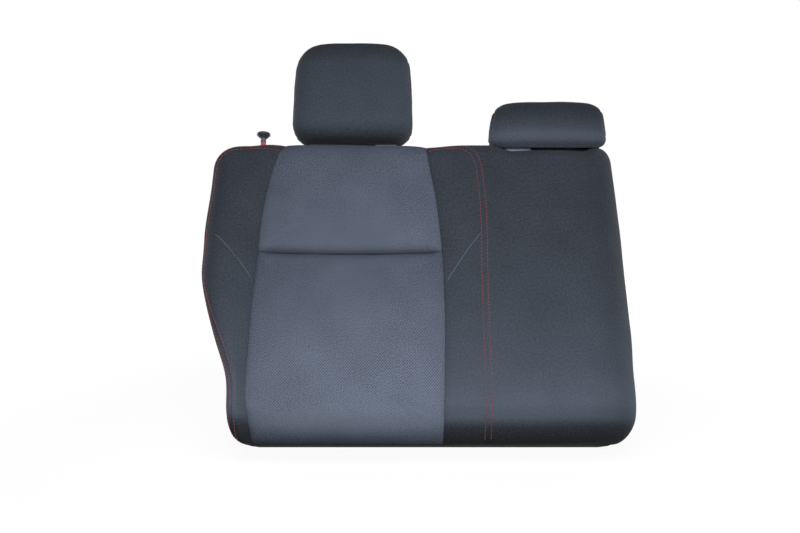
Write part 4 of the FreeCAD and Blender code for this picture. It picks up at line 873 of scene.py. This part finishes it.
def strip(corners, low=False, high=False):
    """Rows of a surface at the levels: at each one a natural spline through its corners, with fixed knots
    taken from the corners' distances halfway up."""
    controls = np.array([np.broadcast_arrays(*corner_pair) for corner_pair in corners])
    knots = run_lengths(controls[:, :, len(LEVELS) // 2])
    weights = spline_weights(knots, graded(knots[-1], SIDE_STEP, low, high))
    rows = np.einsum("sc,ckl->lsk", weights, controls)
    return np.stack(np.broadcast_arrays(rows[..., 0], rows[..., 1], LEVELS[:, None]), axis=-1)


def cloth_map(points, start):
    """Cloth map of a grid in metres: the run across from a column, and the run up the middle column."""
    across = run_lengths(points, 1)
    up = run_lengths(points[:, points.shape[1] // 2])[:, None]
    return np.stack(np.broadcast_arrays(across - across[:, start : start + 1], up), axis=-1) * MM


def outboard_seam_guide():
    """Centre line of the outboard double stitching: up beside the outline, round the shoulder by a quarter
    of an ellipse and along the top."""
    low = np.linspace(-4, 494, 60)
    inward = 15 - 12 * blend((low - 190) / 130)
    depth = front_depth(low) + 6 - 19 * blend((low - 150) / 190)
    side = np.stack([-outer_reach(np.maximum(low, 48)) + inward, depth, low], axis=1)
    turn = np.linspace(0.15, math.pi / 2, 14)
    shoulder = [-334 - 48 * np.cos(turn), 74 + 13 * np.sin(turn) ** 2, 505 + 47 * np.sin(turn)]
    top = np.array([[place, 87, 551] for place in (-312, -290, -268, -252)])
    return np.concatenate([side[::3], np.stack(shoulder, axis=1)[::2], top])


def inner_seam_guide():
    """Centre line of the long double stitching, 3 mm below the padding's front."""
    across, level = np.array(INNER_STITCHING, float).T
    return np.stack([across, front_depth(level) - 3, level], axis=1)


def bolster_corners():
    """Corners of the outboard bolster's sections: over the side, the crest and the slope down to the
    insert. From the widest line to the crest they follow a superellipse, squarer towards the bottom."""
    outer, front, seam = outer_reach(LEVELS), front_depth(LEVELS), outer_seam(LEVELS)
    lift = RISE * (1 - blend(2 * (LEVELS - BOTTOM) / (TOP - BOTTOM) - 1))
    power = 2 / (3.4 - 1.2 * blend((LEVELS - 120) / 260))
    back = np.minimum((seam + outer) * 0.5, 21 + 30 * blend((LEVELS - 100) / 300))
    crest, foot = (back - outer, front + lift), (seam, front - valley(LEVELS))
    turns = np.radians([0, 5, 14, 28, 45, 66, 90])
    rise = [SIDE_DEPTH + (crest[1] - SIDE_DEPTH) * np.sin(turn) ** power for turn in turns]
    turned = [(crest[0] - back * np.cos(turn) ** power, depth) for turn, depth in zip(turns, rise)]
    rear = [(SIDE_DRAW_IN - outer, 1.2), (SIDE_DRAW_IN * 0.2 - outer, SIDE_DEPTH * 0.5)]
    return [*rear, *turned, bowed(crest, foot, BOWS["slope"]), foot]


def centre_corners():
    """Corners of the sections of the inner bolster and centre panel: from the insert's seam over the front
    and round the inner side."""
    inner, front, seam = inner_reach(LEVELS), front_depth(LEVELS), inner_seam(LEVELS)
    flat = 1 - 0.8 * near_top(LEVELS)
    start, widest = (seam, front - valley(LEVELS)), (inner, 0 * inner + SIDE_DEPTH)
    stitched = (0 * seam + STITCHED_SEAM, front - STITCHED_VALLEY * flat)
    edge = (inner - FRONT_EDGE_REACH, front - FRONT_EDGE_DROP * flat)
    return [
        start,
        bowed(start, stitched, BOWS["inner"] * flat),
        stitched,
        bowed(stitched, edge, BOWS["panel"]),
        edge,
        bowed(edge, widest, BOWS["front_edge"]),
        widest,
        (inner - SIDE_DRAW_IN * 0.27, SIDE_DEPTH * 0.43),
        (inner - SIDE_DRAW_IN, 1.2),
    ]


def sew_side(name, replaced, points, away, seeds, swell, wave, guide, dart, sewing):
    """Sews one side of the cover from its plain surface, whose distance from the insert's seam is given.
    The cloth is drawn in at that seam by the dip times e to the minus distance, and swells unevenly. A
    groove runs along the topstitched seam, pinched under both rows, and the dart is a finer one beside a
    slight fold, both made of bell curves of the distance from them."""
    gather_seed, swell_seed = seeds
    points[..., 1] -= sewing.seam_dip * gathers(points[..., 2], gather_seed) * np.exp(-away / 5)
    calm = settled_share(points[..., 2]) * np.clip(away / 40, 0, 1)
    plain = raised(points, swell * unevenness(points, swell_seed, wave) * calm)
    seam = settled(spline_through(guide, 1.2), plain)[0]
    row = sewing.row_spacing / 2
    groove = ((sewing.groove, 0, 1.7), (-0.5, row * 0.55, 1.6), (0.7, row, 1.5))
    grooved = raised(plain, -bells(distance_to(seam, plain), *groove))
    dart = settled(spline_through(dart, 1.0), grooved)[0]
    points = raised(grooved, -bells(distance_to(dart, grooved), (0.9, 0, 1.3), (-0.35, 3.5, 2.2)))
    outboard = name == "outboard_bolster"
    points = tucked_edges(hem_and(points, -1 if outboard else 1), sewing)
    GRIDS[name] = {"cloth": points, "plain": tucked_edges(plain, sewing), "seam": seam, "dart": dart}
    points = with_turns(points, start=not outboard, end=outboard)
    cloth_piece(f"{name}_cloth", points, cloth_map(points, -2 if outboard else 1), replaced)


def insert_relief(sewing, level, middle, edge):
    """How far an insert stands out of the padding's front: a parabolic crown and lifted edges, both flatter
    at the top, less the valley and the dip at its seams."""
    flat = 1 - 0.68 * blend((level - 450) / 105)
    rise = sewing.crown * flat * middle + sewing.edge_lift * flat * (1 - np.exp(-edge / 10))
    return rise - valley(level) - sewing.seam_dip * gathers(level, 13) * np.exp(-edge / 4)


def insert_grid(sewing, upper, fine=True):
    """Upper or lower insert: between its two side seams, a crown that is a parabola across with lifted
    edges, and a roll into the tuck that falls off as e to the minus distance."""
    low, high = (TUCK_LEVEL, TOP) if upper else (BOTTOM, TUCK_LEVEL)
    if fine:
        base = rolled_levels(low, high, INSERT_STEP, roll_low=not upper, roll_high=upper)
        share = graded(INSERT_WIDTH, INSERT_STEP, True, True) / INSERT_WIDTH
    else:
        base, share = np.linspace(low, high, 46 if upper else 68), np.linspace(0, 1, 56)
    middle = 1 - (2 * share - 1) ** 2
    tuck = TUCK_ENDS - TUCK_SAG * middle
    follow = np.abs(base - (TOP if upper else BOTTOM)) / (high - low)
    level = base[:, None] + (tuck - TUCK_LEVEL) * follow[:, None]
    start, end = outer_seam(level), inner_seam(level)
    across = start + (end - start) * share
    edge = np.minimum(across - start, end - across)
    depth = front_depth(level) + insert_relief(sewing, level, middle, edge)
    away = np.abs(level - tuck)
    pinch = 0.6 * np.exp(-away / 4) + bells(away, (0.4, 0, 10 if upper else 15))
    depth -= sewing.tuck_depth * (1 - bells(edge, (0.8, 0, 15))) * pinch
    points = np.stack([across, depth, level], axis=-1)
    return raised(points, 0.7 * unevenness(points, 7) * settled_share(level) * np.minimum(1, edge / 30))


def swollen_insert(sewing, upper):
    """Insert with the swell of its simulated cloth, worked out on a coarse grid and carried to the fine one
    by splines, by the level of its middle column and the share across of its middle row."""
    points = insert_grid(sewing, upper)
    coarse = insert_grid(sewing, upper, fine=False)
    swell = padded_swell(coarse, sewing.pressure)
    levels, shares = [], []
    for grid in (points, coarse):
        row = grid[grid.shape[0] // 2, :, 0]
        levels.append(grid[:, grid.shape[1] // 2, 2])
        shares.append((row - row[0]) / (row[-1] - row[0]))
    row_numbers, column_numbers = np.arange(coarse.shape[0]), np.arange(coarse.shape[1])
    rows = spline_weights(row_numbers, np.interp(*levels, row_numbers))
    columns = spline_weights(column_numbers, np.interp(*shares, column_numbers))
    return points + np.einsum("rc,ckd,sk->rsd", rows, swell, columns)


def border_curve(level, sewing):
    """Front edge of a border, from the outboard rear corner round the front to the inner rear corner."""
    row = 0 if level == BOTTOM else -1
    share = np.linspace(0, 1, 80)
    place = np.array(float(level))
    start, end = float(outer_seam(place)), float(inner_seam(place))
    edge = np.minimum(share, 1 - share) * (end - start)
    depth = float(front_depth(place)) + insert_relief(sewing, place, 1 - (2 * share - 1) ** 2, edge)
    front = np.stack([start + (end - start) * share, depth], axis=1)
    hem = len(HEM_DEPTH)
    left = GRIDS["outboard_bolster"]["cloth"][row, hem:, :2]
    right = GRIDS["centre_panel"]["cloth"][row, :-hem, :2]
    return np.concatenate([left, front[1:-1], right])


def border_grid(level, inward, sewing):
    """Flat border between its straight rear edge and its curved front edge, hemmed at the rear and drawn in
    at the front seam by e to the minus distance."""
    front = border_curve(level, sewing)
    rear_across = np.clip(front[:, 0], front[0, 0] + 1.5, front[-1, 0] - 1.5)
    rear = np.stack([rear_across, np.full(len(front), 1.4)], axis=1)
    near = 1 - np.array([0.15, 0.11, 0.08, 0.055, 0.035, 0.02, 0.01, 0])
    share = np.concatenate([np.linspace(0, 0.8, 14), near])
    flat = rear[None] + (front - rear)[None] * share[:, None, None]
    up = level + inward * border_dip(sewing) * np.exp(-np.linalg.norm(front[None] - flat, axis=-1) / 4)
    edge_shift = bottom_lift(flat[..., 0]) if level == BOTTOM else -top_sink(flat[..., 0])
    up = up + edge_shift * blend((flat[..., 1] - 46) / (front[:, 1] - 46))
    points = np.concatenate([flat, up[..., None]], axis=-1)
    hem_rise = np.array([3.0, 3.0, 2.5, 1.5, 0.4])[:, None]
    hem = [rear_across, HEM_DEPTH[:, None], points[:1, :, 2] + inward * hem_rise]
    turn = points[-1:].copy()
    turn[..., 2] += inward * BORDER_TURN
    return np.concatenate([np.stack(np.broadcast_arrays(*hem), axis=-1), points, turn])


class BACKREST_OT_bolster(bpy.types.Operator):
    """Sews the outboard bolster"""

    bl_idname = "backrest.bolster"
    bl_label = "Outboard bolster"

    def execute(self, context):
        points = strip(bolster_corners(), high=True)
        away = outer_seam(LEVELS)[:, None] - points[..., 0]
        sew_side(
            "outboard_bolster", ["cover_outboard_bolster"], points, away, seeds=(11, 5), swell=0.8, wave=95,
            guide=outboard_seam_guide(), dart=LEFT_DART, sewing=context.scene.backrest_sewing,
        )  # fmt: skip
        return {"FINISHED"}


class BACKREST_OT_centre_panel(bpy.types.Operator):
    """Sews the inner bolster and the centre panel"""

    bl_idname = "backrest.centre_panel"
    bl_label = "Inner bolster and centre panel"

    def execute(self, context):
        points = strip(centre_corners(), low=True)
        away = points[..., 0] - inner_seam(LEVELS)[:, None]
        replaced = ["cover_inner_bolster", "cover_centre_panel", "foam_pad"]
        sew_side(
            "centre_panel", replaced, points, away, seeds=(12, 6), swell=0.9, wave=120,
            guide=inner_seam_guide(), dart=RIGHT_DART, sewing=context.scene.backrest_sewing,
        )  # fmt: skip
        return {"FINISHED"}


class BACKREST_OT_inserts(bpy.types.Operator):
    """Sews the upper and the lower insert, met at the tuck"""

    bl_idname = "backrest.inserts"
    bl_label = "Inserts"

    def execute(self, context):
        sewing = context.scene.backrest_sewing
        for upper, name in ((True, "insert_upper"), (False, "insert_lower")):
            points = tucked_edges(swollen_insert(sewing, upper), sewing)
            # The map runs across by place, and up by the run of the middle column, so both meet at the tuck.
            run = run_lengths(points[:, points.shape[1] // 2])[:, None]
            run += TUCK_LEVEL - BOTTOM - (0 if upper else run[-1])
            uv = np.stack(np.broadcast_arrays(points[..., 0], run), axis=-1) * MM
            uv = np.pad(uv, ((1, 1), (1, 1), (0, 0)), mode="edge")
            turned = with_turns(points, start=True, end=True)
            cloth_piece(f"{name}_cloth", turned, uv, [f"cover_{name}"], "patterned_cloth")
        return {"FINISHED"}


class BACKREST_OT_borders(bpy.types.Operator):
    """Sews the borders that close the cover along its top and bottom"""

    bl_idname = "backrest.borders"
    bl_label = "Borders"

    def execute(self, context):
        # The cloth map of each starts where the cloth of the front ends, and the painted light and shade by height
        # runs on over it, painting the bottom border in deep shade.
        borders = ((TOP, -1, "top_border", 580), (BOTTOM, 1, "bottom_border", -35))
        for level, inward, name, map_start in borders:
            points = border_grid(level, inward, context.scene.backrest_sewing)[::inward]
            uv = np.stack([points[..., 0], points[..., 1] + map_start], axis=-1) * MM
            cloth_piece(f"{name}_cloth", points, uv, [f"cover_{name}"])
        return {"FINISHED"}


def headrest_section():
    """Unit section of a head restraint, evenly spaced: a superellipse whose ends are squarer than its
    faces."""
    turn = np.linspace(-math.pi / 2, -math.pi / 2 - 2 * math.pi, 4001)
    across, depth = rounded(np.cos(turn), 2 / 5), rounded(np.sin(turn), 2 / 3)
    run = run_lengths(np.stack([across * 117, depth * 46], axis=1))
    even = np.linspace(0, run[-1], HEADREST_COLUMNS + 1)
    return np.interp(even, run, across), np.interp(even, run, depth)


def headrest_rows(height, top, foot):
    """Levels of the rows and how much of the end faces each one closes: flat caps, elliptic corners and a
    straight middle."""
    cap = np.array([0.0, 0.12, 0.26, 0.4, 0.54, 0.68, 0.8, 0.9, 0.96])
    turn = np.linspace(0, math.pi / 2, 15)
    low, high = foot * (1 - np.cos(turn)), height - top * (1 - np.cos(turn))
    level = np.concatenate([0 * cap, joined(low, high[::-1], HEADREST_STEP), 0 * cap + height])
    scale = np.concatenate([cap, np.ones(len(level) - 2 * len(cap)), cap[::-1]])
    return level, scale


def headrest_grid(sizes):
    """Head restraint: superellipse sections whose width and thickness follow elliptic corners at the top
    and foot, with a front face that bows out a little and a lip that hangs down before the backrest's top
    edge."""
    width, height, thickness = sizes["size"]
    (top_width, top_height), (foot_width, foot_height) = sizes["top"], sizes["foot"]
    gap, scale = headrest_rows(height, top_height, foot_height)
    top, foot = corner(height - gap, 1, top_height), corner(gap, 1, foot_height)
    share = gap / height
    barrel = 1.2 * (1 - (2 * share - 0.9) ** 2)
    half = width / 2 * (1 - sizes["taper"] * share**2) - foot * foot_width - top * top_width + barrel
    deep = thickness / 2 * (1 - HEADREST_THINNING * share)
    deep *= 1 - foot * sizes["foot_share"] - top * HEADREST_TOP_SHARE
    belly = sizes["belly"] * (0.35 - (1.5 * share - sizes["crest"]) ** 2)
    across, depth = headrest_section()
    out = np.where(scale > 0.999, 0, 1.6 * (1 - scale**2)) * np.where(gap > height / 2, 1, -1)
    place = sizes["place"] + (sizes["skew"] * share)[:, None] + (half * scale)[:, None] * across
    bow = 2.5 * (1 - across**2) + (belly * scale)[:, None]
    out_of = (deep * scale)[:, None] * depth + bow * np.maximum(depth, 0)
    hanging = sizes["lip"] * blend((out_of + 10) / 60) * ((1 - share) ** 2)[:, None]
    level = (sizes["low"] + gap + out)[:, None] - hanging
    return np.stack([place, HEADREST_DEPTH + out_of, level], axis=-1)


def side_loop(sizes, side):
    """Seam round a head restraint's side: a superellipse in depth and level, to be settled on its
    surface."""
    width, height, thickness = sizes["size"]
    turn = np.linspace(0, 2 * math.pi, 240)
    across = sizes["place"] + side * (width / 2 - 6) + 0 * turn
    depth = HEADREST_DEPTH + rounded(np.cos(turn), 2 / 2.6) * thickness / 2 * 0.56
    level = sizes["low"] + height * 0.47 + rounded(np.sin(turn), 2 / 2.6) * height / 2 * 0.78
    return np.stack([across, depth, level], axis=1)


class BACKREST_OT_head_restraints(bpy.types.Operator):
    """Sews the covers of both head restraints"""

    bl_idname = "backrest.head_restraints"
    bl_label = "Head restraints"

    def execute(self, context):
        for name, sizes in HEADRESTS.items():
            points = headrest_grid(sizes)
            loops = []
            for side in (-1, 1):
                loops.append(settled(side_loop(sizes, side), points)[0])
                # A groove beside a slight fold, two bell curves of the distance from the seam
                points = raised(points, -bells(distance_to(loops[-1], points), (1.6, 0, 2.6), (-0.5, 6, 4)))
            points[2:-2] = raised(points, 0.6 * unevenness(points, 21 + len(name), 70))[2:-2]
            points[:, -1] = points[:, 0]
            points[0], points[-1] = points[0].mean(0), points[-1].mean(0)
            body = f"{name}_headrest"
            GRIDS[body] = {"cloth": points, "loops": loops}
            replaced = [f"{body}_cover", f"{body}_foam"]
            uv = cloth_map(points, 0)
            # Each head restraint takes its own copy of the dark cloth, with its own painted light and shade
            piece = grid_piece(f"{body}_cloth", points, uv, body, replaced, "dark_cloth", body, closed=True)
        return {"FINISHED"}


def stitch_shape(sewing):
    """One stitch: five rings of six points, whose radius falls and whose middle sinks towards both ends."""
    along = np.array([-1.0, -0.72, 0.0, 0.72, 1.0])
    radius = sewing.thread * np.array([[0.35], [0.92], [1.0], [0.92], [0.35]])
    turn = np.linspace(0, 2 * math.pi, 7)[:-1]
    lift = sewing.thread * 0.55 - sewing.thread * 1.5 * along**4
    side, height = radius * np.cos(turn), lift[:, None] + radius * np.sin(turn)
    rings = np.broadcast_arrays((along * sewing.stitch / 2)[:, None], side, height)
    return np.stack(rings, axis=-1).reshape(-1, 3), grid_faces(5, 6, ring=True)


def stitches(name, rows, grid, body, sewing, thickness=1.0):
    """Stitches at an even pitch along rows of points on a grid, as one piece."""
    shape, faces = stitch_shape(sewing)
    shape = shape * np.array([1, thickness, thickness])
    places = []
    for path in rows:
        run = run_lengths(path)
        centres = np.arange(sewing.pitch / 2, run[-1] - sewing.pitch / 2, sewing.pitch)
        back, middle, ahead = [
            np.stack([np.interp(centres + shift, run, path[:, axis]) for axis in range(3)], axis=1)
            for shift in (-1.5, 0, 1.5)
        ]
        middle, normal = settled(middle, grid)
        way = ahead - back
        way -= (way * normal).sum(1)[:, None] * normal
        way /= np.linalg.norm(way, axis=1, keepdims=True)
        turned = np.stack([way, np.cross(way, normal), normal], axis=1)
        places.append(middle[:, None] + shape @ turned)
    places = np.concatenate(places)
    offsets = np.arange(len(places)) * len(shape)
    all_faces = (faces[None] + offsets[:, None, None]).reshape(-1, 4)
    mesh_piece(name, places, all_faces, body, [], "dark_cloth", "thread")


def dart_line(name, path, grid):
    """The thread of a fine sewn dart, painted pale as the highlight along its ridge: rings of six points carried
    along a path on the cloth, half sunk in it and thinner at its ends."""
    path, normal = settled(path, grid)
    way = np.gradient(path, axis=0)
    way /= np.linalg.norm(way, axis=1, keepdims=True)
    side = np.cross(way, normal)
    turn = np.linspace(0, 2 * math.pi, 7)[:-1, None]
    place = np.arange(len(path))
    radius = 0.55 * np.minimum(1, np.minimum(place, place[::-1]) / 8 + 0.15)[:, None, None]
    rings = path[:, None] + radius * (np.cos(turn) * side[:, None] + np.sin(turn) * normal[:, None])
    faces = grid_faces(len(path), 6, ring=True)
    mesh_piece(name, rings, faces, "backrest", [], "dark_cloth", "dart_thread_and_highlight")


class BACKREST_OT_stitching(bpy.types.Operator):
    """Adds the decorative stitching and the fine darts"""

    bl_idname = "backrest.stitching"
    bl_label = "Stitching"

    def execute(self, context):
        sewing = context.scene.backrest_sewing
        half = sewing.row_spacing / 2
        left, right = GRIDS["outboard_bolster"], GRIDS["centre_panel"]
        for name, side in (("outboard_bolster", left), ("centre_panel", right)):
            # The rows are laid on the cloth as it is before the groove, whose steep sides would bend them.
            rows = [beside(side["seam"], side["plain"], offset) for offset in (-half, half)]
            stitches(f"{name}_stitches", rows, side["plain"], "backrest", sewing)
        for name in HEADRESTS:
            body = f"{name}_headrest"
            grid = GRIDS[body]["cloth"]
            rows = [beside(loop, grid, half * 0.7) for loop in GRIDS[body]["loops"]]
            stitches(f"{body}_stitches", rows, grid, body, sewing, 0.6)
        dart_line("left_dart_line", left["dart"], left["cloth"])
        dart_line("right_dart_line", right["dart"], right["cloth"])
        return {"FINISHED"}


# Knob and collar foot

KNOB_PLACE = (-298, 38)
# Radius and level of the knob's profile, from its foot on the band up to the middle of its dished top
KNOB_PROFILE = (
    (3.2, 580.8), (5.2, 580.9), (5.6, 581.5), (5.6, 584.0), (5.5, 586.4), (5.7, 588.2), (6.6, 590.2),
    (8.4, 592.4), (10.6, 594.6), (12.7, 596.6), (13.5, 597.6), (13.8, 599.0), (13.6, 600.4), (12.6, 601.2),
    (10.0, 601.5), (5.0, 601.7), (0.0, 601.7),
)  # fmt: skip
STEM_TOP = 588.4

FOOT_PLACE, FOOT_SIZE = (205, 50), (27, 17)
# Share of the full size, and level, of the rings up the collar's foot
FOOT_RINGS = (
    (0, 549), (0.9, 549), (1, 550), (1, 557.5), (0.98, 558.8), (0.86, 563), (0.8, 566.5), (0, 566.5),
)  # fmt: skip


def turned_grid(place, section, shares, levels):
    """Rings of a section round a place, each by its share of the full size and at its level."""
    rings = [place[axis] + shares[:, None] * section[axis] for axis in (0, 1)]
    return np.stack(np.broadcast_arrays(*rings, levels[:, None]), axis=-1)


class BACKREST_OT_knob(bpy.types.Operator):
    """Turns the release knob"""

    bl_idname = "backrest.knob"
    bl_label = "Release knob"

    def execute(self, context):
        radius, level = spline_through(KNOB_PROFILE, 0.7).T
        turn = np.linspace(0, 2 * math.pi, 49)
        points = turned_grid(KNOB_PLACE, (np.cos(turn), -np.sin(turn)), np.maximum(radius, 0), level)
        split = int(np.argmax(level > STEM_TOP))
        # The stem's start is turned inwards to the rod, so nothing is open from outside.
        for name, part, finish in (
            ("knob_stem", points[: split + 1], "stem"),
            ("knob_head", points[split:], "dark_plastic"),
        ):
            uv = part[..., :2] * MM
            grid_piece(name, part, uv, "release", ["release_knob"], "grey_plastic", finish, closed=True)
        return {"FINISHED"}


class BACKREST_OT_collar_foot(bpy.types.Operator):
    """Adds the flared foot of the collar that shows below the centre head restraint"""

    bl_idname = "backrest.collar_foot"
    bl_label = "Collar foot"

    def execute(self, context):
        turn = np.linspace(0, 2 * math.pi, 61)
        # A superellipse, squarer at its ends
        section = FOOT_SIZE[0] * rounded(np.cos(turn), 0.4), -FOOT_SIZE[1] * rounded(np.sin(turn), 0.6)
        points = turned_grid(FOOT_PLACE, section, *np.array(FOOT_RINGS, float).T)
        uv = points[..., :2] * MM
        # The collar's grey painted paler, as painted light below the restraint's lip
        slot, finish = "grey_plastic", "painted_lit_plastic"
        grid_piece("centre_collar_foot", points, uv, "backrest", [], slot, finish, closed=True)
        return {"FINISHED"}


class BACKREST_OT_finishes(bpy.types.Operator):
    """Makes the materials and gives every carried-over node its finish"""

    bl_idname = "backrest.finishes"
    bl_label = "Finishes"

    def execute(self, context):
        make_materials(context.scene.backrest_colours)
        for part in frame["record"]["subparts"]:
            node = frame["nodes"][part["node"]]
            node.data.materials.clear()
            node.data.materials.append(MATERIALS[part["material_slot"]])
        return {"FINISHED"}


# Stage

WHITE = linear("#FFFFFF")
FLOOR_REACH = 6
# Name, place, target, size and power of each lamp
LAMPS = (
    ("key", (-0.05, -0.92, 0.74), (0.0, -0.15, 0.1), (0.8, 0.3), 7.6),
    ("right_fill", (1.4, -1.4, 0.7), (0, 0, 0.3), (0.8, 0.6), 6),
    ("left_side", (-2.0, 1.1, 0.5), (0, 0, 0.35), (1.0, 0.8), 18),
    ("right_side", (2.0, 1.1, 0.5), (0, 0, 0.35), (1.0, 0.8), 18),
    ("rear", (0.3, 2.1, 0.7), (0, 0, 0.35), (1.4, 1.0), 20),
)
CAMERA_PLACE, CAMERA_TILT = (-0.026, -1.6057, 0.5836), 90 - 8.5
LENS, SENSOR = 38, 36


def seen(tree, *rays):
    """1 where a ray of one of these kinds meets the surface, and 0 elsewhere."""
    path = add(tree, "LightPath")
    total = path.outputs[rays[0]]
    for ray in rays[1:]:
        total = add(tree, "Math", {0: total, 1: path.outputs[ray]}, operation="MAXIMUM")
    return total


def studio_paper():
    """Matt pale paper, which takes the object's shadow and is white to the camera, a little less near the
    object."""
    material = bpy.data.materials.new("Studio paper, pale")
    tree = emptied(material)
    paper = add(tree, "BsdfDiffuse", {"Color": linear("#6F6F6F")})
    place = add(tree, "TexCoord").outputs["Object"]
    away = add(tree, "VectorMath", {0: place}, operation="LENGTH").outputs["Value"]
    ends = {"From Min": 0.7, "From Max": 2.2, "To Min": 0.9, "To Max": 1.0}
    white = add(tree, "MapRange", {"Value": away, **ends})
    glow = {0: seen(tree, "Is Camera Ray", "Is Glossy Ray"), 1: white}
    strength = add(tree, "Math", glow, operation="MULTIPLY")
    glow = add(tree, "Emission", {"Color": WHITE, "Strength": strength})
    add(tree, "OutputMaterial", {"Surface": add(tree, "AddShader", {0: paper, 1: glow})})
    return material


def studio_world():
    """Faint even light, and a white background."""
    world = bpy.data.worlds.new("Studio")
    tree = emptied(world)
    ambient = add(tree, "Background", {"Color": WHITE, "Strength": 0.07})
    white = add(tree, "Background", {"Color": WHITE, "Strength": 1.0})
    rays = seen(tree, "Is Camera Ray", "Is Glossy Ray", "Is Transmission Ray")
    mixed = add(tree, "MixShader", {0: rays, 1: ambient, 2: white})
    add(tree, "OutputWorld", {"Surface": mixed})
    return world


class BACKREST_OT_stage(bpy.types.Operator):
    """Sets up the floor, the lamps and the camera"""

    bl_idname = "backrest.stage"
    bl_label = "Stage"

    def execute(self, context):
        scene = context.scene
        mesh = bpy.data.meshes.new("floor")
        corners = [(x * FLOOR_REACH, y * FLOOR_REACH, 0) for x, y in ((-1, -1), (1, -1), (1, 1), (-1, 1))]
        mesh.from_pydata(corners, [], [range(4)])
        mesh.materials.append(studio_paper())
        floor = bpy.data.objects.new("floor", mesh)
        scene.collection.objects.link(floor)
        scene.world = studio_world()
        for name, place, target, size, power in LAMPS:
            lamp = bpy.data.lights.new(name, "AREA")
            lamp.shape = "RECTANGLE"
            lamp.size, lamp.size_y = size
            lamp.energy = power
            holder = bpy.data.objects.new(name, lamp)
            holder.location = place
            holder.rotation_euler = (Vector(target) - Vector(place)).to_track_quat("-Z", "Y").to_euler()
            scene.collection.objects.link(holder)
        camera = bpy.data.cameras.new("camera")
        camera.lens = LENS
        camera.sensor_width = SENSOR
        holder = bpy.data.objects.new("camera", camera)
        holder.location = CAMERA_PLACE
        holder.rotation_euler = (math.radians(CAMERA_TILT), 0, 0)
        scene.collection.objects.link(holder)
        scene.camera = holder
        scene.view_settings.view_transform = "Standard"
        return {"FINISHED"}


OPERATORS = (
    BACKREST_OT_finishes,
    BACKREST_OT_bolster,
    BACKREST_OT_centre_panel,
    BACKREST_OT_inserts,
    BACKREST_OT_borders,
    BACKREST_OT_head_restraints,
    BACKREST_OT_stitching,
    BACKREST_OT_knob,
    BACKREST_OT_collar_foot,
    BACKREST_OT_stage,
)


class BACKREST_PT_panel(bpy.types.Panel):
    """Lists the pieces of the backrest"""

    bl_label = "Folding rear backrest"
    bl_idname = "BACKREST_PT_panel"
    bl_space_type = "VIEW_3D"
    bl_region_type = "UI"
    bl_category = "Backrest"

    def draw(self, context):
        layout = self.layout
        for operator in OPERATORS:
            layout.operator(operator.bl_idname)
        for group in (context.scene.backrest_sewing, context.scene.backrest_colours):
            box = layout.box()
            for name in group.__annotations__:
                box.prop(group, name)


CLASSES = (BackrestSewing, BackrestColours, *OPERATORS, BACKREST_PT_panel)


def register():
    """Registers the classes and their properties."""
    for cls in CLASSES:
        bpy.utils.register_class(cls)
    bpy.types.Scene.backrest_sewing = bpy.props.PointerProperty(type=BackrestSewing)
    bpy.types.Scene.backrest_colours = bpy.props.PointerProperty(type=BackrestColours)


def unregister():
    """Takes the classes and their properties away again."""
    del bpy.types.Scene.backrest_colours
    del bpy.types.Scene.backrest_sewing
    for cls in reversed(CLASSES):
        bpy.utils.unregister_class(cls)


def main():
    """Makes every piece in order."""
    register()
    for operator in OPERATORS:
        group, name = operator.bl_idname.split(".")
        getattr(getattr(bpy.ops, group), name)()


if __name__ == "__main__":
    main()
